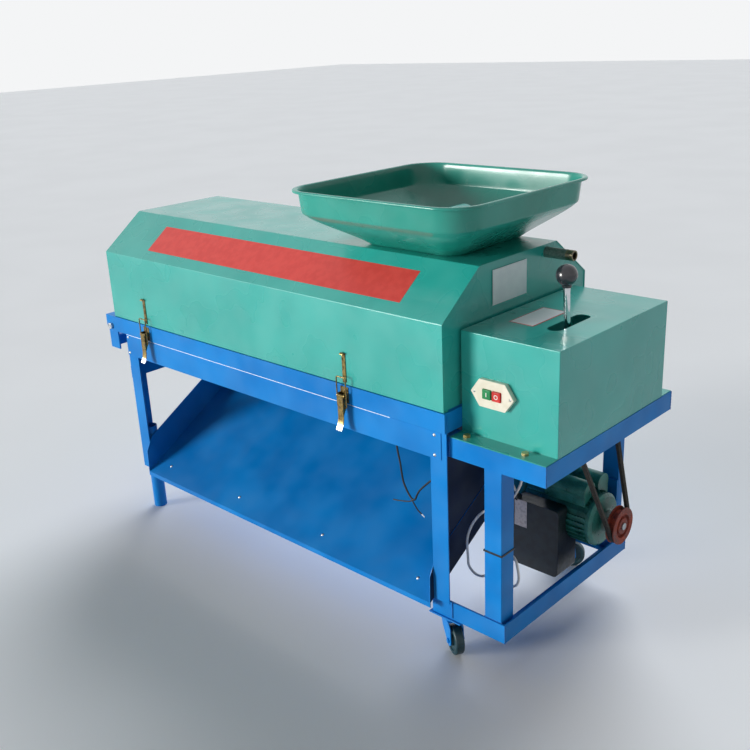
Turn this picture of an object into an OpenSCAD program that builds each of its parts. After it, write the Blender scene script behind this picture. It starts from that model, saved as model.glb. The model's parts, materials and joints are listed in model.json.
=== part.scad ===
// Walnut huller: brush roller in a hinged eight-sided hood, on an angle-iron frame.
// Sizes in millimetres. X runs to the drive end, Y to the rear, Z up from the floor.
// Inside the modules X = 0 is the drive-end face of the hood and Y = 0 its centre plane.

/* [Hood] */
// Length of the hood
hood_l = 1375; // [1250:5:1600]
// Width of the hood
hood_w = 600; // [580:2:640]
// Height of the upright front panel
hood_wall_h = 214; // [190:2:240]
// Height of the whole hood
hood_h = 320; // [300:2:360]
// Width of the flat top
hood_top_w = 320; // [310:2:360]
// Sheet of the hood, cover and tray
sheet = 2; // [1.5:0.5:3]

/* [Frame] */
// Height of the top rails above the floor
rail_top = 670; // [650:5:720]
// Leg width of the angle iron
angle_w = 50; // [45:1:55]
// Thickness of the angle iron
angle_t = 5; // [4:0.5:6]
// How far the top rails stand out past the hood on each side
rail_side = 3; // [2:1:8]
// How far the top rails run past the hood at the outlet end
rail_overhang = 51; // [50:1:70]
// Depth of the apron strips below the rails
apron_h = 70; // [50:2:80]
// Diameter of the tube feet
foot_d = 42.4; // [34:0.2:44]

/* [Tray] */
// Height of the front edge of the tray
tray_front_z = 146; // [140:2:170]
// Slope of the tray
tray_slope = 31; // [26:1:32]
// Depth of the side lips, square to the tray
tray_lip = 90; // [60:2:100]
// How far the tray stands out in front of the legs
tray_reach = 14; // [5:1:30]

/* [Drive frame] */
// Reach of the drive ring past the hood
ring_l = 272; // [268:1:290]
// How far the drive ring stands in from the inner faces of the rails
ring_inset = 12; // [8:1:14]
// Drop from the top of the rails to the top face of the ring
ring_drop = 63; // [58:1:70]
// Near face of the drive posts, from the hood
post_x = 101; // [95:1:110]
// Side of the square front post
post_w = 50; // [40:1:50]
// Depth of the flat rear post
rear_post_d = 25; // [20:1:26]
// Reach of the base rails past the hood
base_l = 164; // [162:1:170]
// Height of the underside of the base rails
base_z = 106; // [104:1:115]

/* [Drive cover] */
// Length of the drive cover
cover_l = 265; // [260:1:266]
// Width of the drive cover
cover_w = 476; // [460:2:478]
// Height of the drive cover
cover_h = 251; // [235:1:300]
// Length of the lever slot
slot_l = 150; // [140:2:170]
// Width of the lever slot
slot_w = 38; // [30:1:42]

/* [Drum] */
// Drop from the top of the rails to the axis of the roller shaft
shaft_drop = 23; // [22:0.5:25]
// Diameter of the roller shaft
shaft_d = 30; // [24:1:32]
// Diameter over the brushes
brush_d = 344; // [320:2:350]
// Diameter of the roller tube
core_d = 120; // [90:2:140]
// Number of brush strips
brush_count = 8; // [6:1:10]
// Inside radius of the sieve cage
sieve_r = 190; // [182:1:192]
// Diameter of the sieve bars
bar_d = 8; // [6:1:10]
// Number of sieve bars
bar_count = 23; // [17:1:25]

/* [Belt drive] */
// Middle plane of the belt, from the hood
drive_x = 206; // [205:1:212]
// Pitch diameter of the roller pulley
roller_pulley_d = 180; // [150:2:190]
// Pitch diameter of the motor pulley
motor_pulley_d = 90; // [80:2:100]
// Top width of the belt
belt_w = 13; // [10:1:13]
// Depth of the belt
belt_h = 9; // [7:0.5:10]

/* [Motor] */
// Space between the rear post and the plate that carries the motor
plate_gap = 0; // [0:1:4]
// Motor shaft above the floor
motor_z = 247; // [240:1:262]
// Diameter of the motor over its ribs
motor_d = 150; // [140:2:156]
// Length of the ribbed motor body
motor_l = 205; // [190:1:215]
// Diameter of the motor shaft
motor_shaft_d = 19; // [14:1:24]
// Height of the motor axis over its feet
motor_foot_h = 80; // [78:1:81]
// Length of the terminal box
box_l = 150; // [130:2:160]
// Height of the terminal box
box_h = 200; // [160:2:210]
// How deep the terminal box stands in front of the motor
box_depth = 36; // [28:1:44]
// How far the middle of the terminal box hangs below the motor shaft
box_drop = 57; // [40:1:64]

/* [Feed basin] */
// Length of the basin inside its rolled rim
basin_l = 561; // [520:1:580]
// Width of the basin inside its rolled rim
basin_w = 551; // [520:1:570]
// Height of the basin
basin_h = 152; // [130:1:180]
// Height of its upright wall
basin_wall_h = 64; // [40:1:80]
// Corner radius at the rim
basin_r = 84; // [60:1:110]
// Width of the rolled rim
rim_w = 12; // [8:1:16]
// Length of the foot of the basin on the hood
basin_foot_l = 294; // [270:1:310]
// Width of the foot of the basin on the hood
basin_foot_w = 294; // [280:1:300]
// Middle of the basin, back from the drive-end face
basin_x = 246; // [220:1:400]

/* [Clutch lever] */
// Diameter of the lever rod
rod_d = 16; // [12:1:18]
// Diameter of the knob
knob_d = 50; // [40:1:55]
// Height of the middle of the knob above the cover
knob_rise = 116; // [95:1:150]
// Diameter of the idler wheel
idler_d = 44; // [36:1:48]

/* [Latches] */
// Distance between the two latches
latch_gap = 875; // [700:5:1000]
// Length of the wire loop
loop_l = 82; // [70:1:90]
// Wire diameter of the loop
wire_d = 3.6; // [3:0.2:4]

/* [Casters] */
// Wheel diameter
wheel_d = 78; // [70:1:84]
// Wheel width
wheel_w = 24; // [18:1:28]
// Offset of the axle from the swivel
caster_trail = 22; // [12:1:24]
// Angle the casters rest at, turned from straight ahead
caster_turn = 30; // [0:5:60]

/* [Hidden] */
$fn = 48;

// Colours of the paints and metals
hood_green = [0.18, 0.62, 0.54];
frame_blue = [0.04, 0.42, 0.80];
zinc = [0.72, 0.72, 0.74];
yellow_zinc = [0.72, 0.62, 0.36];
steel = [0.60, 0.62, 0.64];
cast = [0.30, 0.33, 0.36];
motor_green = [0.10, 0.33, 0.27];
pulley_red = [0.55, 0.24, 0.18];
black = [0.06, 0.06, 0.07];
white = [0.86, 0.86, 0.84];

// Clearances: running fit, between bodies, round a bolt, and past a cut
run = 0.05;
gap = 0.4;
bolt_gap = 0.5;
past = 1;

// Frame lines worked out from the sizes above
rail_y = hood_w / 2 + rail_side;
rail_in_y = rail_y - angle_t;
rail_bottom = rail_top - angle_w;
flange_z = rail_top - angle_t;
drive_end_x = angle_t;
leg_x = drive_end_x - angle_w;
outlet_x = -hood_l;
far_leg_x = outlet_x + angle_w;
rails_x0 = outlet_x - rail_overhang;
ring_y = rail_in_y - ring_inset;
ring_in_y = ring_y - angle_t;
ring_top = rail_top - ring_drop;
ring_flange_z = ring_top - angle_t;
base_top = base_z + angle_w;
base_floor = base_z + angle_t;
cross_x = 20;
apron_top = rail_bottom - sheet;
apron_end = 35;
far_leg_bottom = tray_front_z + 4;
foot_h = tray_front_z + 3 * angle_w;

// Tray lines
tray_x0 = far_leg_x + angle_w;
tray_x1 = leg_x;
tray_front_y = -rail_in_y - tray_reach - sheet;
tray_run = rail_in_y - tray_front_y;
tray_back_z = tray_front_z + tray_run * tan(tray_slope);
tray_lip_z = tray_lip / cos(tray_slope);

// Hood lines
hood_z = rail_top + gap;
hood_top = hood_z + hood_h;
hinge_y = rail_y + 6;
hinge_z = rail_top + gap / 2;
hinge_xs = [-180, -hood_l / 2, -hood_l + 180];
hinge_leaf = 60;
knuckle_r = 6;
hinge_pin_r = 2.5;
feed_l = basin_foot_l - 30;
feed_w = 205;
feed_y = -10;

// Drum lines
shaft_z = rail_top - shaft_drop;
shaft_r = shaft_d / 2;
core_x0 = outlet_x + 75;
core_x1 = leg_x - 25;
sieve_x0 = far_leg_x + angle_t + 2;
sieve_x1 = leg_x - sheet - 5;
bearing_top = ring_top;
bearing_h = shaft_z - bearing_top;
bearing_w = 30;
bearing_foot = 150;
bearing_bolt_y = 58;
left_bearing_x = outlet_x - rail_overhang / 2;
right_bearing_x = cross_x + angle_w / 2;

// The motor stands off its plate, and the plate off the rear post
motor_plate_t = 6;
motor_plate_y = ring_in_y - rear_post_d - plate_gap - motor_plate_t;
motor_y = motor_plate_y - motor_foot_h;

// Belt lines, with the slant of the belt from the two pulleys
roller_pitch_r = roller_pulley_d / 2;
motor_pitch_r = motor_pulley_d / 2;
pulley_w = 24;
belt_run_y = motor_y;
belt_run_z = motor_z - shaft_z;
belt_centres = norm([belt_run_y, belt_run_z]);
belt_lean = atan2(belt_run_z, belt_run_y);
belt_open = acos((roller_pitch_r - motor_pitch_r) / belt_centres);

// Lever lines: the rod leans a little to the front at rest
lever_x = 174;
lever_y = -46;
lever_z = shaft_z - 7;
lever_lean = 3.6;
cover_top = ring_top + cover_h;
slot_y = -50;
slot_x = lever_x - 1;
knob_z = cover_top + knob_rise;
knob_reach = (knob_z - lever_z) / cos(lever_lean);
pivot_r = 6;
hub_r = 16;
arm_t = 8;
idler_arm = 116;
engaged_turn = 14;
idler_w = 18;
idler_x = drive_x;

// The front run of the belt: a point on it and its direction, in the belt plane
front_tangent = belt_lean - belt_open;
run_normal = [cos(front_tangent), sin(front_tangent)];
run_reach = roller_pitch_r + belt_h / 2 + idler_d / 2 + gap;
// Along the belt from the roller pulley, where the arm can reach the run
pivot_in_run = [lever_y, lever_z - shaft_z];
pivot_off = run_reach - pivot_in_run * run_normal;
along_dir = [run_normal.y, -run_normal.x];
along_sign = along_dir.y < 0 ? 1 : -1;
idler_drop = sqrt(max(1, idler_arm * idler_arm - pivot_off * pivot_off));
engaged_idler = pivot_in_run + pivot_off * run_normal + along_sign * idler_drop * along_dir;
function turned(v, a) = [v.x * cos(a) - v.y * sin(a), v.x * sin(a) + v.y * cos(a)];
rest_idler = pivot_in_run + turned(engaged_idler - pivot_in_run, -engaged_turn);
idler_y = rest_idler.x;
idler_z = shaft_z + rest_idler.y;

// Latch lines
latch_x = -320;
latch_xs = [latch_x - latch_gap, latch_x];
latch_pivot_y = -rail_y - 12;
latch_pivot_z = rail_top - 25;
loop_drop = 32;
latch_w = 20;
keeper_w = 12;
keeper_top = latch_pivot_z - loop_drop + loop_l + 62;

// Switch lines
switch_x = 101;
switch_z = 723;
switch_l = 120;
switch_h = 67;
switch_flat = 72;
switch_d = 12;
button_w = 24;
button_gap = 0.3;
button_pitch = 27;
button_travel = 3;

// Caster lines
caster_x = -18;
caster_y = ring_y - 25;
caster_plate = [100, 62, 4];
kingpin_r = 6;
fork_gap = wheel_w / 2 + 4;
fork_t = 2.5;
axle_r = 4;
wheel_r = wheel_d / 2;

// Motor lines
motor_r = motor_d / 2;
motor_x1 = 147;
motor_x0 = motor_x1 - motor_l;
motor_bolt_xs = [motor_x0 + 45, motor_x1 - 65];
motor_bolt_zs = [motor_z - 55, motor_z + 55];
rotor_r = 40;
shield_t = 22;
box_wall = 3;
cap_r = 27;
cap_wall = 3;
cap_off = 34;
cap_rise = 14;
fan_cover_l = 62;

// Wire routes, in order from where each leaves the object
motor_lead_d = 6.5;
motor_lead_route = [
  [101, -236, 723], [101, -224, 722], [105, -207, 715], [113, -196, 701],
  [124, -193, 685], [138, -196, 663], [152, -202, 634], [162, -208, 598],
  [165, -212, 555], [158, -214, 510], [142, -214, 474], [118, -214, 443],
  [54, -213, 400], [24, -211, 368], [2, -208, 330], [-9, -206, 292],
  [-8, -205, 245], [-5, -205, 220], [15, -205, 204], [40, -205, 207],
  [56, -205, 227], [66, -206, 258], [82, -208, 283], [96, -208, 300],
  [118, -207, 304], [137, -206, 293], [144, -206, 272], [146, -203, 240],
  [135, -200, 215], [110, -196, 204], [85, -193, 215], [74, -190, 240],
  [58, -187, 276], [32, -184, 354], [32, -172, 388], [40, -142, 411],
  [36, -104, 420], [12, -56, 412], [-20, -4, 376], [-46, 68, 293]
];
slack_lead_d = 5;
slack_lead_route = [
  [-160, -290, 560], [-160, -290, 546], [-158, -290, 530], [-154, -290, 512],
  [-150, -290, 494], [-147, -290, 472], [-142, -290, 448], [-133, -290, 430],
  [-123, -290, 416], [-113, -290, 408], [-105, -290, 411], [-100, -290, 422],
  [-91, -290, 438], [-78, -290, 453], [-62, -290, 469], [-46, -290, 484]
];

// Overall reach, for the origin under the middle of the machine
chute_reach = 115;
machine_x0 = outlet_x - chute_reach;
origin_x = (machine_x0 + ring_l) / 2;

// Shared helpers

// A box from its low corner to its high corner
module span(low, high) translate(low) cube(high - low);

// Everything twice, mirrored over the centre plane
module both_sides() {
  children();
  mirror([0, 1, 0]) children();
}

// Rounded rectangle about its middle
module rounded(l, w, r) {
  square([l - 2 * r, w], center = true);
  square([l, w - 2 * r], center = true);
  for (sx = [-1, 1], sy = [-1, 1])
    translate([sx * (l / 2 - r), sy * (w / 2 - r)]) circle(r);
}

// Angle-iron section: the corner at the origin, one leg along X, one down
module angle_section(w = angle_w, t = angle_t) {
  toe = t * 0.6;
  difference() {
    translate([0, -w]) square(w);
    translate([t, -w - past]) square([w, w + past - t]);
    toe_cut(w - toe, -t + toe, toe);
    mirror([1, -1]) toe_cut(w - toe, -t + toe, toe);
  }
}

// What a rounded toe takes off the inner corner of a leg
module toe_cut(x, y, toe) difference() {
  translate([x, y - toe - past]) square([toe + past, toe + past]);
  translate([x, y]) circle(toe);
}

// Angle bar along X with its outer corner on the line y, z
module bar_x(x0, x1, y, z)
  translate([x0, y, z]) rotate([90, 0, 90]) linear_extrude(x1 - x0) angle_section();

// Angle bar along Y; its flat leg points to +X
module bar_y(y0, y1, x, z)
  translate([x, y1, z]) rotate([90, 0, 0]) linear_extrude(y1 - y0) angle_section();

// Upright angle bar; its legs point to +X and +Y
module bar_z(z0, z1, x, y)
  translate([x, y, z0]) linear_extrude(z1 - z0) mirror([0, 1]) angle_section();

// Cylinder along X between two faces
module round_x(x0, x1, r, y = 0, z = 0)
  translate([x0, y, z]) rotate([0, 90, 0]) cylinder(r = r, h = x1 - x0);

// Cylinder along Y between two faces
module round_y(y0, y1, r, x = 0, z = 0)
  translate([x, y0, z]) rotate([-90, 0, 0]) cylinder(r = r, h = y1 - y0);

// Profile in Y and Z, pulled along X
module pull_x(x0, x1) translate([x0, 0, 0]) rotate([90, 0, 90]) linear_extrude(x1 - x0) children();

// Profile in X and Z, pulled along Y
module pull_y(y0, y1) translate([0, y1, 0]) rotate([90, 0, 0]) linear_extrude(y1 - y0) children();

// Hex bolt standing on z = 0 with its shank down through the grip to a nut
module hex_bolt(d, grip) {
  head = d * 1.85;
  cylinder(d = head, h = d * 0.62, $fn = 6);
  translate([0, 0, -grip - d * 0.8]) cylinder(d = head, h = d * 0.8, $fn = 6);
  translate([0, 0, -grip - d * 1.2]) cylinder(d = d, h = grip + d * 1.3);
}

// Tube swept along a route, ring by ring, as one closed solid
function unit(v) = v / norm(v);
function heading(p, i) = unit(p[min(i + 1, len(p) - 1)] - p[max(i - 1, 0)]);
function blend_at(p, i, t) = let (
    a = p[max(i - 1, 0)], b = p[i], c = p[i + 1], d = p[min(i + 2, len(p) - 1)]
  ) 0.5 * (2 * b + (c - a) * t + (2 * a - 5 * b + 4 * c - d) * t * t
    + (3 * b - a - 3 * c + d) * t * t * t);
function smooth_route(p, n) = [
  for (i = [0:len(p) - 2], k = [0:n - 1]) blend_at(p, i, k / n), p[len(p) - 1]
];
module tube_along(route, d, sides, n) {
  path = smooth_route(route, n);
  last = len(path) - 1;
  rings = [for (i = [0:last]) let (
      ahead = heading(path, i),
      side = unit(cross(ahead, abs(ahead.x) > 0.8 ? [0, 1, 0] : [1, 0, 0])),
      up = cross(side, ahead)
    ) [for (k = [0:sides - 1]) let (a = 360 * k / sides)
      path[i] + d / 2 * (side * cos(a) + up * sin(a))]];
  points = [for (ring = rings, q = ring) q];
  faces = concat(
    [[for (k = [sides - 1:-1:0]) k]],
    [for (i = [0:last - 1], k = [0:sides - 1]) let (
        a = i * sides + k, b = i * sides + (k + 1) % sides
      ) each [[a, b, b + sides], [a, b + sides, a + sides]]],
    [[for (k = [0:sides - 1]) last * sides + k]]
  );
  polyhedron(points, faces);
}

// Frame

// Top rails: two long angles and two end angles coped between them
module top_rails() color(frame_blue) {
  both_sides() difference() {
    bar_x(rails_x0, drive_end_x, -rail_y, rail_top);
    rail_bolts(bolt_gap);
    rail_end_round();
    rail_end_flange_cut();
  }
  end_rail(0, 0);
  end_rail(outlet_x, 1);
}

// The lower corner of each rail is rounded at the outlet end
module rail_end_round() {
  r = 18;
  difference() {
    span([rails_x0 - past, -rail_y - past, rail_bottom - past],
         [rails_x0 + r, -rail_in_y + past, rail_bottom + r]);
    round_y(-rail_y - 2 * past, -rail_in_y + 2 * past, r, rails_x0 + r, rail_bottom + r);
  }
}

// The flat leg of each rail is cut back at the outlet end, clear of the bearing bar
module rail_end_flange_cut()
  translate([rails_x0 + 10, -rail_y + angle_w, flange_z - past])
    rotate([0, 0, 135]) cube([40, 40, angle_t + 2 * past]);

// End rail with a hole for the shaft; side 1 has its upright leg at the outlet face
module end_rail(x, side) {
  flat0 = side == 1 ? x : drive_end_x - angle_w;
  wall0 = side == 1 ? x : drive_end_x - angle_t;
  wall_y = side == 1 ? rail_in_y : rail_in_y - angle_t;
  difference() {
    union() {
      span([flat0, -rail_y + angle_w, flange_z], [flat0 + angle_w, rail_y - angle_w, rail_top]);
      span([wall0, -wall_y, rail_bottom], [wall0 + angle_t, wall_y, flange_z]);
    }
    round_x(wall0 - past, wall0 + angle_t + past, shaft_r + 2, 0, shaft_z);
  }
}

// Four angle legs; those at the drive end are coped over the base rails
module legs() color(frame_blue) both_sides() {
  difference() {
    bar_z(base_floor, flange_z, leg_x, -rail_in_y);
    span([leg_x - past, -rail_y, base_floor - past],
         [leg_x + angle_w + past, -ring_in_y, base_top]);
  }
  bar_z(far_leg_bottom, flange_z, far_leg_x, -rail_in_y);
}

// Tube feet, closed below by a welded plate
module left_feet() color(frame_blue) both_sides()
  translate([far_leg_x + angle_t + foot_d / 2, -rail_in_y + angle_t + foot_d / 2, 0])
    difference() {
      cylinder(d = foot_d, h = foot_h);
      translate([0, 0, angle_t]) cylinder(d = foot_d - 6, h = foot_h);
    }

// Ring of angles that carries the drive cover, with a cross rail for the bearing
module drive_ring() color(frame_blue) difference() {
  union() {
    both_sides() bar_x(leg_x + angle_t, ring_l, -ring_y, ring_top);
    ring_cross(ring_l, -1);
    ring_cross(cross_x, 1);
  }
  cover_bolts(bolt_gap);
  bearing_bolts(bolt_gap);
}

// Cross rail of the ring; its flat leg points to way
module ring_cross(x, way) {
  flat0 = way > 0 ? x : x - angle_w;
  wall0 = way > 0 ? x : x - angle_t;
  span([flat0, -ring_y + angle_w, ring_flange_z], [flat0 + angle_w, ring_y - angle_w, ring_top]);
  span([wall0, -ring_in_y, ring_top - angle_w], [wall0 + angle_t, ring_in_y, ring_flange_z]);
}

// Square front post and flat rear post, standing in the base rails
module drive_posts() color(frame_blue) {
  tube_post(-ring_in_y, -ring_in_y + post_w);
  tube_post(ring_in_y - rear_post_d, ring_in_y);
}

module tube_post(y0, y1) {
  wall = 3;
  difference() {
    span([post_x, y0, base_floor], [post_x + post_w, y1, ring_flange_z]);
    span([post_x + wall, y0 + wall, base_floor - past],
         [post_x + post_w - wall, y1 - wall, ring_flange_z + past]);
  }
}

// Base rails: two along the sides and one across the drive end
module base_rails() color(frame_blue) difference() {
  union() {
    both_sides() translate([0, 0, 2 * base_z + angle_w]) mirror([0, 0, 1])
      bar_x(leg_x - 15, base_l, -ring_y, base_top);
    span([base_l - angle_w, -ring_y + angle_w, base_z], [base_l, ring_y - angle_w, base_floor]);
    span([base_l - angle_t, -ring_in_y, base_floor], [base_l, ring_in_y, base_top]);
  }
  caster_bolts(bolt_gap);
}

// Sheet strips that close the gap below the top rails
module apron_plates() color(frame_blue) both_sides()
  span([far_leg_x, -rail_in_y - sheet, apron_top - apron_h],
       [-apron_end + 25, -rail_in_y, apron_top]);

// Dome-headed screws in the aprons and the front edge of the tray
module dome_screw(r, h) rotate_extrude() intersection() {
  translate([0, h - (r * r + h * h) / (2 * h)]) circle((r * r + h * h) / (2 * h));
  square([r, h]);
}

module frame_screws() color(zinc) {
  both_sides() for (x = [far_leg_x + 10, leg_x + 15], z = [apron_top - 9, apron_top - apron_h + 9])
    translate([x, -rail_in_y - sheet, z]) rotate([90, 0, 0]) dome_screw(4.5, 2.5);
  for (x = [for (k = [0.06, 0.35, 0.65, 0.94]) tray_x0 + k * (tray_x1 - tray_x0)])
    translate([x, tray_front_y + 40, tray_front_z + 40 * tan(tray_slope) + sheet / cos(tray_slope)])
      rotate([tray_slope, 0, 0]) dome_screw(4.5, 2.5);
}

// Sloping pan: a floor, two side lips cut back at the front, and a rear upstand
module tray() color(frame_blue) {
  pull_x(tray_x0, tray_x1) tray_line(sheet / cos(tray_slope));
  for (x = [tray_x0, tray_x1 - sheet]) pull_x(x, x + sheet) tray_side();
  span([tray_x0, rail_in_y - sheet, tray_back_z - 6], [tray_x1, rail_in_y, tray_back_z + 30]);
  span([tray_x0, tray_front_y, tray_front_z - 12],
       [tray_x1, tray_front_y + sheet, tray_front_z + sheet]);
}

module tray_line(depth) polygon([
  [tray_front_y, tray_front_z], [rail_in_y, tray_back_z],
  [rail_in_y, tray_back_z + depth], [tray_front_y, tray_front_z + depth]
]);

module tray_side() {
  cut = 26;
  cut_z = cut * tan(tray_slope);
  difference() {
    polygon([
      [tray_front_y, tray_front_z], [rail_in_y, tray_back_z],
      [rail_in_y, tray_back_z + tray_lip_z * 0.8],
      [rail_in_y - 30, tray_back_z - 30 * tan(tray_slope) + tray_lip_z],
      [tray_front_y + cut, tray_front_z + cut_z + tray_lip_z],
      [tray_front_y + sheet, tray_front_z + tray_lip_z * 0.72]
    ]);
    translate([0, shaft_z]) circle(sieve_r + bar_d + 8);
  }
}

// Sheet between the drum and the belt drive, from the end rail down to the tray lip
module splash_panel() color(frame_blue) pull_x(tray_x1 - 2 * sheet, tray_x1 - sheet) {
  front = -rail_in_y + angle_w + 3;
  back = rail_in_y - angle_w - 3;
  low = 22;
  polygon([
    [front, tray_front_z + low + (front - tray_front_y) * tan(tray_slope)],
    [back, tray_front_z + low + (back - tray_front_y) * tan(tray_slope)],
    [back, rail_bottom - 12], [front, rail_bottom - 12]
  ]);
}

// Half-round cage of bars on hoops, hung from the rails by two strips
module sieve() color(steel) {
  hoop_t = 6;
  hoop_r = sieve_r + bar_d + 4;
  hoops = 5;
  hoop_step = (sieve_x1 - sieve_x0 - hoop_t) / (hoops - 1);
  difference() {
    union() {
      for (i = [0:hoops - 1]) difference() {
        round_x(sieve_x0 + i * hoop_step, sieve_x0 + i * hoop_step + hoop_t, hoop_r, 0, shaft_z);
        round_x(sieve_x0 + i * hoop_step - past, sieve_x0 + i * hoop_step + hoop_t + past,
                sieve_r + bar_d / 2, 0, shaft_z);
      }
      for (i = [0:bar_count - 1]) let (a = -180 + 180 * (i + 0.5) / bar_count)
        round_x(sieve_x0, sieve_x1, bar_d / 2, (sieve_r + bar_d / 2) * cos(a),
                shaft_z + (sieve_r + bar_d / 2) * sin(a));
    }
    span([sieve_x0 - past, -hoop_r - past, shaft_z],
         [sieve_x1 + past, hoop_r + past, shaft_z + hoop_r + past]);
  }
  both_sides() {
    span([sieve_x0, -hoop_r - 1, shaft_z - 12], [sieve_x1, -hoop_r + 3, flange_z - 3]);
    span([sieve_x0, -rail_y + angle_w - 18, flange_z - 3], [sieve_x1, -hoop_r + 3, flange_z]);
  }
}

// Cross bar at the outlet end that carries the far bearing between the rails
module bearing_bar() color(frame_blue) difference() {
  union() {
    bar_y(-rail_in_y + angle_t, rail_in_y - angle_t, rails_x0 + past, ring_top);
    both_sides() span([rails_x0 + past, -rail_in_y, ring_top - angle_w],
                      [outlet_x - past, -rail_in_y + angle_t, flange_z - 3]);
  }
  rail_bolts(bolt_gap);
  bearing_bolts(bolt_gap);
}

// Two pillow blocks for the roller shaft
module bearing_housings() color(cast) difference() {
  for (x = [left_bearing_x, right_bearing_x]) pillow_block(x);
  bearing_bolts(bolt_gap);
}

module pillow_block(x) difference() {
  union() {
    span([x - bearing_w / 2 + 2, -bearing_foot / 2, bearing_top],
         [x + bearing_w / 2 - 2, bearing_foot / 2, bearing_top + 12]);
    round_x(x - bearing_w / 2, x + bearing_w / 2, shaft_r + 15, 0, shaft_z);
    pull_x(x - bearing_w / 2 + 3, x + bearing_w / 2 - 3) polygon([
      [-bearing_foot / 2 + 30, bearing_top + 10], [bearing_foot / 2 - 30, bearing_top + 10],
      [shaft_r + 11, shaft_z], [-shaft_r - 11, shaft_z]
    ]);
  }
  round_x(x - bearing_w, x + bearing_w, shaft_r + run, 0, shaft_z);
  span([x - bearing_w, -bearing_foot, bearing_top - 20], [x + bearing_w, bearing_foot, bearing_top]);
}

// Bolt groups, grown by extra where a hole is wanted
module cover_bolts(extra = 0) for (x = [38, 201]) both_sides()
  translate([x, -(cover_w / 2 + ring_y) / 2, ring_top + sheet])
    if (extra > 0) translate([0, 0, -40]) cylinder(d = 10 + 2 * extra, h = 60);
    else hex_bolt(10, sheet + angle_t);

module bearing_bolts(extra = 0) for (x = [left_bearing_x, right_bearing_x]) both_sides()
  translate([x, -bearing_bolt_y, bearing_top + 12])
    if (extra > 0) translate([0, 0, -40]) cylinder(d = 12 + 2 * extra, h = 60);
    else hex_bolt(12, 12 + angle_t);

module rail_bolts(extra = 0) both_sides()
  translate([left_bearing_x, -rail_y, rail_top - 35]) rotate([90, 0, 0])
    if (extra > 0) translate([0, 0, -40]) cylinder(d = 12 + 2 * extra, h = 60);
    else hex_bolt(12, 2 * angle_t);

module motor_bolts(extra = 0) for (x = motor_bolt_xs, z = motor_bolt_zs)
  translate([x, motor_plate_y - 10, z]) rotate([90, 0, 0])
    if (extra > 0) translate([0, 0, -40]) cylinder(d = 8 + 2 * extra, h = 60);
    else hex_bolt(8, 10 + motor_plate_t);

module caster_bolts(extra = 0) both_sides() for (sx = [-1, 1], sy = [-1, 1])
  translate([caster_x + sx * (caster_plate.x / 2 - 15), -caster_y + sy * 11.5, base_floor])
    if (extra > 0) translate([0, 0, -40]) cylinder(d = 8 + 2 * extra, h = 60);
    else hex_bolt(8, angle_t + caster_plate.z);

module hex_bolts() color(yellow_zinc) {
  cover_bolts();
  bearing_bolts();
  rail_bolts();
  motor_bolts();
  caster_bolts();
}

// Sheet chute that takes the cleaned nuts out of the far end of the drum
module outlet_chute() color(frame_blue) {
  chute_in = sieve_x0 - 4;
  wall = 60;
  inner_w = 210;
  top_in = shaft_z - sieve_r - bar_d - 2;
  fall = 28;
  profile = [[chute_in, top_in], [machine_x0, top_in - fall],
             [machine_x0, top_in - fall - sheet], [chute_in, top_in - sheet]];
  union() {
    pull_y(-inner_w / 2 - sheet, inner_w / 2 + sheet) polygon(profile);
    both_sides() pull_y(-inner_w / 2 - sheet, -inner_w / 2) polygon([
      [chute_in, top_in - sheet], [chute_in, top_in + wall + 30],
      [machine_x0, top_in - fall + wall], [machine_x0, top_in - fall - sheet]
    ]);
    both_sides() span([far_leg_x - sheet, -rail_in_y, top_in + 20],
                      [far_leg_x, -inner_w / 2 - sheet, top_in + 60]);
  }
}

// Drive cover: folded sheet box, open below and towards the hood, with bolted flanges
module drive_cover() color(hood_green) difference() {
  x0 = drive_end_x + gap;
  x1 = x0 + cover_l;
  half = cover_w / 2;
  union() {
    difference() {
      span([x0, -half, ring_top], [x1, half, cover_top]);
      span([x0 - past, -half + sheet, ring_top - past], [x1 - sheet, half - sheet, cover_top - sheet]);
    }
    both_sides() span([x0, -ring_y + past, ring_top], [x1, -half + sheet, ring_top + sheet]);
    both_sides() span([x0, -half + sheet, ring_top], [x0 + sheet, -half + 18, cover_top - sheet]);
  }
  cover_bolts(bolt_gap);
  translate([slot_x, slot_y, cover_top - 2 * sheet]) linear_extrude(4 * sheet) {
    square([slot_w, slot_l - slot_w], center = true);
    for (s = [-1, 1]) translate([0, s * (slot_l - slot_w) / 2]) circle(d = slot_w);
  }
  round_y(-half - past, -half + sheet + past, 9, switch_x, switch_z);
}

// Switch: a long six-sided plate with two square wells for the buttons
module switch_body() color([0.86, 0.83, 0.70]) difference() {
  face = -cover_w / 2;
  pull_y(face - switch_d, face) translate([switch_x, switch_z]) polygon([
    [-switch_l / 2, 0], [-switch_flat / 2, switch_h / 2], [switch_flat / 2, switch_h / 2],
    [switch_l / 2, 0], [switch_flat / 2, -switch_h / 2], [-switch_flat / 2, -switch_h / 2]
  ]);
  for (s = [-1, 1]) button_well(s, face - switch_d - past, face - sheet, button_w);
  for (s = [-1, 1]) round_y(face - switch_d - past, face - switch_d + 2, 3,
                            switch_x + s * (switch_l / 2 - 10), switch_z);
}

module button_well(s, y0, y1, w) {
  x = switch_x + s * button_pitch / 2;
  span([x - w / 2, y0, switch_z - w / 2], [x + w / 2, y1, switch_z + w / 2]);
}

// Spring-back push buttons, standing proud of the plate
module push_button(s) {
  face = -cover_w / 2 - switch_d;
  w = button_w - 2 * button_gap;
  button_well(s, face - 4, face + switch_d - sheet - button_travel - 1, w);
}
module start_button() color([0.10, 0.55, 0.28]) push_button(-1);
module stop_button() color([0.80, 0.10, 0.10]) push_button(1);

// Motor

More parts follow.
